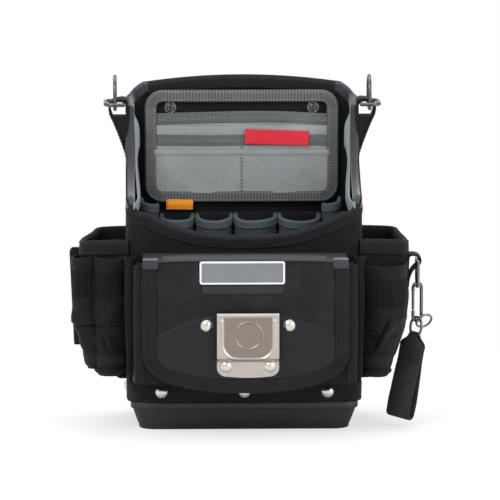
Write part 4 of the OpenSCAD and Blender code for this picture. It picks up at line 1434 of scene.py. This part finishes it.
class POUCH_OT_base(PouchOperator, Operator):
    """Moulds the base tray and sews the skirt band round the foot of the bag"""

    bl_idname = "pouch.base"
    bl_label = "Base"

    def execute(self, context):
        low, high = span("base_tray")
        wide, deep, tall = high.x, high.y, high.z

        def outline(inset, radius):
            points = rounded_outline(wide - inset, deep - inset, radius, 8)
            return points + points[:1]

        # Inset from the outer faces, height and corner radius, from under the foot up and down into the well
        steps = [(16, 0.9, 10), (10.5, 0.0, 14), (8.6, 0.2, 15), (7.9, 1.2, 16), (7.5, 4.2, 16), (6.9, 4.9, 16)]
        steps += [(6.6, 5.6, 16), (4.4, 12.5, 14), (2.4, 18.6, 12), (1.9, 19.8, 12), (0.7, 20.4, 12), (0.1, 21.2, 12)]
        steps += [(0.0, 22.5, 12), (0.0, 25.2, 12), (0.4, 26.4, 12), (1.3, tall, 12), (10.0, tall, 5)]
        steps += [(10.8, tall - 0.6, 4), (11.0, tall - 2, 3), (11.0, 4.0, 3)]
        rings = [(outline(inset, radius), z) for inset, z, radius in steps]
        around = len(rings[0][0]) - 1

        def tray(u, v):
            ring, z = rings[round(v * (len(rings) - 1))]
            x, y, _ = ring[round(u * around)]
            return x, y, z

        body = weld(patch("base_moulding", around, len(rings) - 1, tray), fill=True)
        dress(body, "base", stands_for=("base_tray",))

        low, high = span("base_skirt")
        band_depth = 1.6
        outline_points = rounded_outline(high.x - band_depth, high.y - band_depth, 14.0, 10)
        plan = [(Vector((x, y, 0)), out) for x, y, out in outline_points]
        fine = []
        for (p, n), (q, m) in zip(plan, plan[1:] + plan[:1]):
            count = max(1, round((q - p).length / 6))
            fine += [(mix(p, q, i / count), mix(n, m, i / count).normalized()) for i in range(count)]
        fine.append(fine[0])
        rails = [(p + UP * high.z, p + UP * (low.z - 0.3), n) for p, n in fine]
        profile = [(0, 0), (0.0, 0.9), (0.05, 1.4), (0.5, 1.75), (0.95, 1.4), (1, 0.9), (1, 0)]
        band = sweep("base_skirt_band", rails, profile, loop=True)
        dress(band, "webbing", stands_for=("base_skirt",))
        stitching("skirt_stitches", [seam(rails, 0.12, 1.6), seam(rails, 0.88, 1.6)], "thread")
        finish_node("base_rivets", "nickel")
        finish_node("floor_board", "rubber")
        return {"FINISHED"}


# ---------------------------------------------------------------- side pockets


class POUCH_OT_side_pockets(PouchOperator, Operator):
    """Sews the two side pockets with their hem bands, and the stiff rear board of the left one"""

    bl_idname = "pouch.side_pockets"
    bl_label = "Side pockets"

    def execute(self, context):
        low, high = span("right_pocket")
        wall_x, radius = low.x, 11.0
        # Heights, and how far the outer wall stands off the bag at each
        depths = ([low.z, low.z + 20, low.z + 45, low.z + 75, high.z], [22.5, 33.5, 41.5, 43.5, 44.0])

        plan = [(i / 10, 0.0, low.y, Vector((0, -1, 0))) for i in range(10)]
        for start, cy in ((-90, low.y + radius), (0, high.y - radius)):
            if start == 0:
                plan += [(1.0, radius, mix(low.y + radius, cy, i / 22), Vector((1, 0, 0))) for i in range(22)]
            for i in range(9):
                a = math.radians(start + 90 * i / 8)
                out = Vector((math.cos(a), math.sin(a), 0))
                plan.append((1.0, radius * out.x, cy + radius * out.y, out))
        plan += [(1 - i / 10, 0.0, high.y, Vector((0, 1, 0))) for i in range(1, 11)]
        last = len(plan) - 1
        run_out = [0.0]
        for (f0, d0, y0, _), (f1, d1, y1, _) in zip(plan, plan[1:]):
            run_out.append(run_out[-1] + math.hypot((f1 - f0) * 33 + d1 - d0, y1 - y0))

        def rim_sag(i):
            return 2.4 * math.sin(math.pi * run_out[i] / run_out[-1]) ** 2

        def wall_at(i, z, seed):
            f, d, y, out = plan[i]
            reach = float(np.interp(z, *depths))
            x = wall_x + f * (reach - radius) + d
            loose = math.sin(math.pi * min(max((z - low.z) / (high.z - low.z), 0), 1))
            push = 1.7 * loose * (0.3 + 0.7 * f) + ripple(x, y, z, 27, 1.5, seed) * loose * f
            return Vector((x, y, z)) + out * push

        hems, rows = [], []
        width = 13.0
        for seed, name, narrow in ((0.0, "right", 0.12), (5.0, "left", 0.3)):

            def drawn(point):
                """Draws the outer wall in towards the back, so that the mouth is wider in front."""
                share = narrow * ease((point.y + 34) / (high.y + 34))
                return Vector((wall_x + (point.x - wall_x) * (1 - share), point.y, point.z))

            def cloth(u, v):
                i = round(u * last)
                _, _, y, out = plan[i]
                if v < 0.18:
                    t = v / 0.18
                    edge = wall_at(i, low.z + 3, seed) - out * 3.0
                    seat = Vector((wall_x, mix(y, (low.y + high.y) / 2, 0.03), low.z + 0.6))
                    return drawn(mix(seat, edge, ease(t)) - UP * (2.4 * ease(t * 1.2)))
                t = (v - 0.18) / 0.82
                z = mix(low.z + 1, high.z - 0.8 - rim_sag(i), t)
                tuck = 3.0 * (1 - min(t * 12, 1)) ** 2
                return drawn(wall_at(i, z, seed) - out * tuck)

            pocket = weld(patch(f"{name}_pocket_cloth", last, 60, cloth))
            if seed:
                edit_all(pocket, flip_across)
            thicken(pocket, 2.2)
            soften(pocket, 0.4)
            dress(pocket, "pocket", stands_for=(f"{name}_pocket",))
            rails = []
            for i, (*_, out) in enumerate(plan):
                top = high.z - rim_sag(i)
                edge, inner = (drawn(wall_at(i, z, seed) - out * 1.1) for z in (top, top - width))
                rails.append((edge, inner, out))
            if name == "left":
                rails = [tuple(opposite(p) for p in rail) for rail in reversed(rails)]
            hems.append(sweep(f"{name}_hem", rails, folded(width, 2.6, 1.1)))
            rows += [seam(rails, 0.84, 2.6), seam(rails, 0.14, 2.6)]
        dress(join("pocket_hem_tape", *hems), "flap_tape", stands_for=("hem_bands",))
        stitching("hem_stitches", rows, "thread")

        a, b = span("left_rear_board")
        heights = [a.z, b.z - 5, b.z - 1, b.z]

        def stiff(u, v):
            z = mix(a.z, b.z - 0.6, v)
            outer = float(np.interp(z, heights, [a.x + 4, a.x, a.x + 1, a.x + 4]))
            x = mix(b.x, outer, u)
            return x, b.y - 0.6 + ripple(x, 0, z, 36, 1.2) * u, z

        rear = cut("left_rear_sheet", 26, 44, stiff, 3.0, 0.5)
        dress(rear, "pocket", stands_for=("left_rear_board",))
        rails = []
        for i in range(41):
            x, y, z = stiff(1.0, i / 40)
            rails.append((Vector((x - 0.6, b.y - 2.0, z)), Vector((x + 6.0, b.y - 2.0, z)), FRONT))
        tape = sweep("left_rear_tape", rails, folded(6.6, 3.4, 0.8))
        dress(tape, "flap_tape")
        return {"FINISHED"}


class POUCH_OT_tube_pockets(PouchOperator, Operator):
    """Sews the gathered tube pockets in front of the side pockets, and the slim screwdriver sleeves"""

    bl_idname = "pouch.tube_pockets"
    bl_label = "Tube pockets"

    def execute(self, context):
        rows = []

        def tube(name, cx, cy, radius, foot, top, first, final, gather, seed, lean=0.0, taper=0.0, pleat=None):
            """A gathered half tube: plain hem, ribbed elastic band, puckers, seam, lower band and tucked foot.
            The first three values of gather are the foot of the hem and of the elastic and the seam, below the top,
            and the other two are the edges of the lower band, above the foot."""
            tall = top - foot
            hem_z, band_z, seam_z = (top - g for g in gather[:3])
            low_top, low_foot = (foot + g for g in gather[3:])
            ribs = max(6, round(math.radians(abs(final - first)) * radius / 2.9))

            def at(u, z, lift=0.0):
                angle = math.radians(mix(first, final, u))
                share = min(max((top - z) / tall, 0.0), 1.0)
                fall = ease(share * 1.5 - 0.5)
                wide = radius * (1 - taper * fall)
                elastic = ease((z - band_z) / 1.4 + 0.5) * ease((hem_z - z) / 1.4 + 0.5)
                rib = abs(math.sin(math.pi * ribs * u)) ** 0.55
                below = max(band_z - z, 0.0)
                body = min(max(below / (band_z - low_top), 0.0), 1.0)
                wide += elastic * (1.5 * rib - 1.9) + 0.9 * ease((z - hem_z) / 5)
                wide += (1 - elastic) * (0.7 * (rib - 0.5) * math.exp(-below / 6) * (below > 0))
                wide += 2.6 * math.sin(math.pi * body) ** 0.7
                wide += ripple(angle * radius, seed * 9, z, 13, 3.0) * math.sin(math.pi * body) ** 0.5
                wide -= 1.7 * math.exp(-(((z - seam_z) / 1.3) ** 2))
                strap = ease((low_top - z) / 1.2) * ease((z - low_foot) / 1.2)
                wide -= 0.9 * strap
                wide += 1.3 * ease((low_foot - z) / 3) - 4.2 * ease(1 - (z - foot) / 6.5) ** 2
                if pleat:
                    (angle_low, z_low), (angle_high, z_high), depth = pleat
                    middle = mix(angle_low, angle_high, (z - z_low) / (z_high - z_low))
                    offset = math.radians(math.degrees(angle) - middle) * radius
                    window = ease((z - z_low) / 9) * ease((z_high - z) / 9 + 0.2)
                    wide -= depth * math.exp(-((offset / 1.5) ** 2)) * window
                    wide += 0.5 * depth * math.exp(-(((offset - 4.5) / 3.0) ** 2)) * window
                wide += lift
                x = cx - math.copysign(lean * fall + 0.9 * taper * radius * fall, cx) + wide * math.cos(angle)
                return Vector((x, cy + wide * math.sin(angle), z))

            columns = ribs * 10

            def cloth(u, v):
                return at(u, mix(foot, top - 1.5 * math.sin(math.pi * u), v))

            sheet = cut(name, columns, 120, cloth, 1.3, 0.3, seamed=True)
            count = columns // 2

            def strip(z_top, z_foot, lift=0.0, sag=0.0):
                rails = []
                for i in range(count + 1):
                    u = i / count
                    drop = sag * math.sin(math.pi * u)
                    out = (at(u, z_foot, 1.0) - at(u, z_foot)).normalized()
                    rails.append((at(u, z_top - drop, lift), at(u, z_foot - drop, lift), out))
                return rails

            lower = strip(low_top - 0.5, low_foot + 0.5)
            profile = [(0, -0.5), (0, 0.4), (0.1, 0.8), (0.9, 0.8), (1, 0.4), (1, -0.5)]
            band = sweep(f"{name}_lower_band", lower, profile)
            dress(band, "webbing")
            rows.append(seam(strip(top, hem_z + 1.5, 0.0, 1.5), 1.0, 0.25))
            rows.append(seam(strip(seam_z + 2.4, seam_z), 0.0, 0.25))
            zigzag = []
            for i in range(0, len(lower), 3):
                edge, inner, out = lower[i]
                zigzag.append((mix(edge, inner, 0.25 + 0.5 * (i % 2)) + out * 0.85, out))
            rows.append(zigzag)
            return sheet

        a, b = span("left_tubes")
        radius, corner = 13.5, 10.0
        gather = (13.5, 38.0, 64.0, 23.0, 8.0)
        fold = ((266, a.z + 21), (240, a.z + 40), 2.6)
        front = tube("left_front_tube", b.x - radius, -53.0, radius, a.z, b.z, 180, 360, gather, 1.0, pleat=fold)
        gather = (13.5, 38.0, 64.0, 17.0, 3.0)
        side = tube("left_corner_tube", a.x + corner, -50.0, corner, a.z + 6, b.z, 95, 330, gather, 2.0, 11.0)
        both = join("left_tube_cloth", front, side)
        dress(both, "pocket", stands_for=("left_tubes",))

        a, b = span("right_lower_pocket")
        wide = (b.x - a.x) / 2
        gather = (14.0, 40.0, 66.0, 23.0, 8.0)
        fold = ((247, a.z + 22), (284, a.z + 58), 4.2)
        lower = tube("right_lower_cloth", a.x + wide, -53.0, wide, a.z, b.z, 180, 362, gather, 3.0, 0.0, 0.38, fold)
        dress(lower, "pocket", stands_for=("right_lower_pocket",))

        a, b = span("driver_sleeves")
        cx, cy = b.x - 5.0, (a.y + b.y) / 2

        def sleeve(u, v):
            angle = 2 * math.pi * u
            z = mix(a.z, b.z, v)
            elastic = ease((z - (b.z - 19)) / 1.5) * ease((b.z - 2.5 - z) / 1.5)
            rib = abs(math.sin(angle * 6)) ** 0.6
            wide = mix(3.1, 4.9, ease((z - a.z) / (b.z - a.z) * 1.3)) + 0.55 * ease((z - b.z + 24) / 24)
            wide += elastic * (0.6 * rib - 0.5) - 1.4 * ease(1 - (z - a.z) / 8) + ripple(z, angle, 0, 17, 0.5)
            return cx + wide * math.cos(angle), cy + wide * math.sin(angle), z

        right = cut("right_sleeve", 60, 110, sleeve, 1.0, seamed=True)
        pair = both_sides("driver_sleeve_cloth", right)
        dress(pair, "webbing", stands_for=("driver_sleeves",))
        stitching("tube_stitches", rows, "thread", pitch=3.0, length=2.1, thick=0.6)
        return {"FINISHED"}


# ---------------------------------------------------------------- webbing and hardware


def webbing_section(t, shoulder):
    """Profile of webbing of half thickness t, whose edges fall off to a share of it."""
    face = [(0, t * shoulder), (0.05, t), (0.5, t * 1.05), (0.95, t), (1, t * shoulder)]
    return [(0, -t * shoulder), *face, (1, -t * shoulder), (0.95, -t), (0.5, -t), (0.05, -t)]


def webbing_loop(name, path, y, width, thickness):
    """Heavy webbing along a path of (x, z), its width along Y. The path is rounded before it is swept."""
    smooth = [Vector((x, z)) for x, z in path]
    for _ in range(3):
        cut = [smooth[0]]
        for p, q in zip(smooth, smooth[1:]):
            cut += [mix(p, q, 0.25), mix(p, q, 0.75)]
        smooth = cut + [smooth[-1]]
    rails = []
    for i, p in enumerate(smooth):
        run = (smooth[min(i + 1, len(smooth) - 1)] - smooth[max(i - 1, 0)]).normalized()
        out = Vector((run.y, 0, -run.x))
        rails.append((Vector((p.x, y - width / 2, p.y)), Vector((p.x, y + width / 2, p.y)), out))
    return sweep(name, rails, webbing_section(thickness / 2, 0.5)), rails


class POUCH_OT_shoulder_tabs(PouchOperator, Operator):
    """Folds the webbing tabs that hold the shoulder rings, and finishes the rings"""

    bl_idname = "pouch.shoulder_tabs"
    bl_label = "Shoulder tabs"

    def execute(self, context):
        low, high = span("shoulder_tabs")
        y, width = (low.y + high.y) / 2, high.y - low.y
        wall, out, top = HALF, high.x, high.z
        path = [(wall + 1.2, low.z), (wall + 1.4, low.z + 3), (wall + 5, low.z + 14), (wall + 12, low.z + 32)]
        path += [(out - 1.5, top - 13), (out - 0.8, top - 8), (out - 1.5, top - 3.5), (out - 6, top - 1.2)]
        path += [(wall + 5, top + 0.3), (wall + 0.8, top - 1), (wall + 0.8, top - 12), (wall + 1.0, low.z + 8)]
        right, rails = webbing_loop("right_tab", path, y, width, 2.3)
        both = both_sides("shoulder_tab_webbing", right)
        dress(both, "webbing", stands_for=("shoulder_tabs",))
        body = []
        for i in range(13):
            z = mix(low.z + 5, top - 16, i / 12)
            reach = float(np.interp(z, [low.z + 3, low.z + 14, low.z + 32, top - 13], [1.4, 5, 12, out - wall - 1.5]))
            body.append((Vector((wall + 0.8, y, z)), Vector((wall + reach - 1.3, y, z)), FRONT))
        deep = width / 2 - 0.8
        section = [(0, -deep), (0, deep), (0.3, deep + 0.3), (0.9, deep), (1, deep - 1), (1, 1 - deep), (0.9, -deep)]
        wedge = sweep("right_wedge", body, section)
        wedges = both_sides("shoulder_tab_wedges", wedge)
        dress(wedges, "webbing")
        rows = [seam(rails, 0.12, 1.3, 0.02, 0.4), seam(rails, 0.88, 1.3, 0.02, 0.4)]
        for at in (0.04, 0.2, 0.34):
            edge, inner, normal = rails[round(at * (len(rails) - 1))]
            rows.append(line(mix(edge, inner, 0.12) + normal * 1.3, mix(edge, inner, 0.88) + normal * 1.3, normal))
        stitching("tab_stitches", rows + flipped(rows), "flap_thread")
        for node in ("left_upright_ring", "left_flat_ring", "right_upright_ring", "right_flat_ring"):
            finish_node(node, "gunmetal")
        return {"FINISHED"}


class POUCH_OT_carry_set(PouchOperator, Operator):
    """Makes the ring tab and the looped wrist strap, and finishes the hanging hook and rings"""

    bl_idname = "pouch.carry_set"
    bl_label = "Hook and wrist strap"

    def execute(self, context):
        low, high = span("ring_tab")
        y, width = (low.y + high.y) / 2, high.y - low.y
        path = [(low.x + 0.9, low.z), (low.x + 1.6, low.z + 8), (low.x + 5.5, high.z - 13), (high.x - 1.2, high.z - 9)]
        path += [(high.x - 0.6, high.z - 4), (high.x - 3.5, high.z - 0.8), (low.x + 3, high.z - 0.2)]
        path += [(low.x + 0.9, high.z - 3), (low.x + 0.9, low.z + 6)]
        tab, rails = webbing_loop("ring_tab_webbing", path, y, width, 1.9)
        dress(tab, "webbing", stands_for=("ring_tab",))
        for node in ("pocket_ring", "snap_hook", "hook_gate", "strap_ring", "spare_ring"):
            finish_node(node, "ring_steel")

        hook_foot, lean, ring_turn, strap_turn = 98.7, 10.0, -60.0, 25.0
        ring_radius, lift = 9.0, 3.15
        carry_x = 161.0
        # Where the strap hangs: from the ring, which hangs from the leaning hook
        frame_at = (
            Matrix.Translation((carry_x, -35.0, hook_foot))
            @ Matrix.Rotation(math.radians(lean), 4, "Y")
            @ Matrix.Rotation(math.radians(ring_turn), 4, "Z")
            @ Matrix.Translation((0, 0, lift - 2 * ring_radius))
            @ Matrix.Rotation(math.radians(strap_turn), 4, "Z")
        )
        length, half, thickness = 78.0, 12.4, 2.2
        # Distances down the strap, and half the gap between its two layers at each
        gaps = ([0, 5, 11, 22, 36, 62, 74], [3.4, 2.9, 1.5, 1.4, 3.2, 5.3, 4.6])
        loop = []
        for i in range(9):
            a = math.radians(180 * i / 8)
            loop.append((3.4 * math.cos(a), 3.4 * math.sin(a)))
        loop += [(-float(np.interp(d, *gaps)), -d) for d in range(2, 75, 3)]
        for i in range(1, 10):
            a = math.radians(180 + 180 * i / 10)
            loop.append((4.6 * math.cos(a), -length + 5.7 + 4.6 * math.sin(a)))
        loop += [(float(np.interp(d, *gaps)), -d) for d in range(74, 1, -3)]
        loop.append(loop[0])
        rails = []
        for i, (y, z) in enumerate(loop):
            before, after = loop[i - 1 if i else -2], loop[i + 1 if i < len(loop) - 1 else 1]
            run = Vector((0, after[0] - before[0], after[1] - before[1])).normalized()
            out = Vector((0, run.z, -run.y))
            wide = mix(4.4, half, ease((-z + 1) / 9))
            sway = ripple(0, y, z, 30, 0.8)
            a, b = Vector((-wide, y + sway, z)), Vector((wide, y + sway, z))
            rails.append((frame_at @ a, frame_at @ b, (frame_at.to_3x3() @ out).normalized()))
        strap = sweep("wrist_strap_webbing", rails, webbing_section(thickness / 2, 0.4), loop=True)
        dress(strap, "strap", "wrist_strap_body", ("wrist_strap",))
        rows, reach, upper, lower = [], 10.5, -11.5, -20.5
        for side in (-1, 1):
            out = (frame_at.to_3x3() @ Vector((0, side, 0))).normalized()
            box = [((-reach, z), (reach, z)) for z in (upper, lower)]
            box += [((x, upper), (x, lower)) for x in (-reach, reach)]
            for ends in box:
                a, b = (frame_at @ Vector((x, side * 2.75, z)) for x, z in ends)
                rows.append(line(a, b, out))
        stitching("strap_stitches", rows, "flap_thread", body="wrist_strap_body", pitch=3.0, length=2.1)
        return {"FINISHED"}


# ---------------------------------------------------------------- back


class POUCH_OT_back(PouchOperator, Operator):
    """Pads the back with quilted spacer mesh and sews the belt tunnel over it"""

    bl_idname = "pouch.back"
    bl_label = "Back pad and belt tunnel"

    def execute(self, context):
        low, high = span("back_pad")
        corners = (low.x + 3, low.y - 0.5, low.z + 3), (high.x - 3, high.y - 2.5, high.z - 3)
        pad = board("back_pad_cushion", *corners, 1, 18, 1.5, 8)
        select(pad)
        pad.data.remesh_voxel_size = 4.5 * MM
        bpy.ops.object.voxel_remesh()
        rest = [v.co.copy() for v in pad.data.vertices]
        pad.modifiers.new("Cloth", "CLOTH")
        cloth = pad.modifiers["Cloth"]
        cloth.settings.use_pressure = True
        cloth.settings.uniform_pressure_force = 4.0
        cloth.settings.effector_weights.gravity = 0.0
        for number in range(1, 21):
            bpy.context.scene.frame_set(number)
        bpy.ops.object.modifier_apply(modifier="Cloth")
        limit = self.sizes.swell
        for vertex, start in zip(pad.data.vertices, rest):
            moved = vertex.co - start
            if moved.length > limit:
                moved = moved.normalized() * limit
            vertex.co = start + moved
        bpy.context.scene.frame_set(1)
        modify(pad, "SUBSURF", levels=1, render_levels=1)
        middle_z = (low.z + high.z) / 2
        channels = [low.z + 38, high.z - 38]
        for vertex in pad.data.vertices:
            x, y, z = vertex.co / MM
            groove = max(ease(1 - abs(z - c) / 5.0) for c in channels)
            groove = max(groove, ease(1 - abs(abs(x) - 58) / 5.0))
            face = ease((y - low.y - 1.5) / 3.0)
            crown = 1.2 * (1 - (x / 99) ** 2) * (1 - ((z - middle_z) / 124) ** 2)
            y = max(y, low.y - 0.8) + (crown - 2.6 * groove) * face
            vertex.co = Vector((x, min(y, high.y + 2.0), z)) * MM
        dress(pad, "pad", stands_for=("back_pad",))
        ring = rounded_ring(low.x + 1, low.z + 1, high.x - 1, high.z - 1, 20, 8, 8, 30)
        rails = [(Vector((a[0], low.y, a[1])), Vector((b[0], low.y, b[1])), Vector((0, 1, 0))) for a, b in ring]
        profile = [(0, -0.4), (-0.05, 0.8), (0.0, 2.3), (0.4, 3.4), (0.9, 3.8), (1.0, 3.0), (1.0, -0.4)]
        tape = sweep("pad_edge_tape", rails, profile, loop=True)
        dress(tape, "webbing")

        a, b = span("belt_tunnel")
        pad_y, out_y = a.y, b.y
        path = [(pad_y + 1.3, a.z), (pad_y + 1.6, a.z + 9), (pad_y + 5, a.z + 16), (out_y - 1.8, a.z + 20)]
        path += [(out_y - 1.4, a.z + 34)]
        upper = [(y, a.z + b.z - z) for y, z in reversed(path)]
        tunnel, rails = webbing_loop("belt_tunnel_webbing", path + upper, 0.0, b.x - a.x, 2.6)
        quarter = {"value": math.radians(90), "orient_axis": "Z", "center_override": (0, 0, 0)}
        edit_all(tunnel, flip_across, lambda: bpy.ops.transform.rotate(**quarter), face_outwards)
        dress(tunnel, "webbing", stands_for=("belt_tunnel",))
        rows, back = [], Vector((0, 1, 0))
        x0, x1, sewn_y = a.x + 3, b.x - 3, pad_y + 2.9
        for z0, z1 in ((a.z + 2, a.z + 11), (b.z - 11, b.z - 2)):
            for z in (z0, z1):
                rows.append(line((x0, sewn_y, z), (x1, sewn_y, z), back))
            for x in (x0, x1):
                rows.append(line((x, sewn_y, z0), (x, sewn_y, z1), back))
        stitching("tunnel_stitches", rows, "flap_thread")
        return {"FINISHED"}


# ---------------------------------------------------------------- add-on


OPERATORS = (
    POUCH_OT_stage,
    POUCH_OT_walls,
    POUCH_OT_edges,
    POUCH_OT_tool_panel,
    POUCH_OT_tool_loops,
    POUCH_OT_front_pouch,
    POUCH_OT_flap,
    POUCH_OT_clip,
    POUCH_OT_base,
    POUCH_OT_side_pockets,
    POUCH_OT_tube_pockets,
    POUCH_OT_shoulder_tabs,
    POUCH_OT_carry_set,
    POUCH_OT_back,
)


class POUCH_PT_panel(Panel):
    """Lists the settings and the pieces in the sidebar."""

    bl_label = "Tool Pouch"
    bl_idname = "POUCH_PT_panel"
    bl_space_type = "VIEW_3D"
    bl_region_type = "UI"
    bl_category = "Tool Pouch"

    def draw(self, context):
        layout = self.layout
        for group in (context.scene.pouch_sizes, context.scene.pouch_colours):
            box = layout.box()
            for name in group.bl_rna.properties.keys():
                if name not in {"rna_type", "name"}:
                    box.prop(group, name)
        for operator in OPERATORS:
            layout.operator(operator.bl_idname)


CLASSES = (PouchColours, PouchSizes, *OPERATORS, POUCH_PT_panel)


def register():
    for cls in CLASSES:
        bpy.utils.register_class(cls)
    bpy.types.Scene.pouch_colours = PointerProperty(type=PouchColours)
    bpy.types.Scene.pouch_sizes = PointerProperty(type=PouchSizes)


def unregister():
    del bpy.types.Scene.pouch_sizes
    del bpy.types.Scene.pouch_colours
    for cls in reversed(CLASSES):
        bpy.utils.unregister_class(cls)


def main():
    register()
    make_finishes(bpy.context.scene.pouch_colours)
    for operator in OPERATORS:
        group, name = operator.bl_idname.split(".")
        getattr(getattr(bpy.ops, group), name)()


if __name__ == "__main__":
    main()
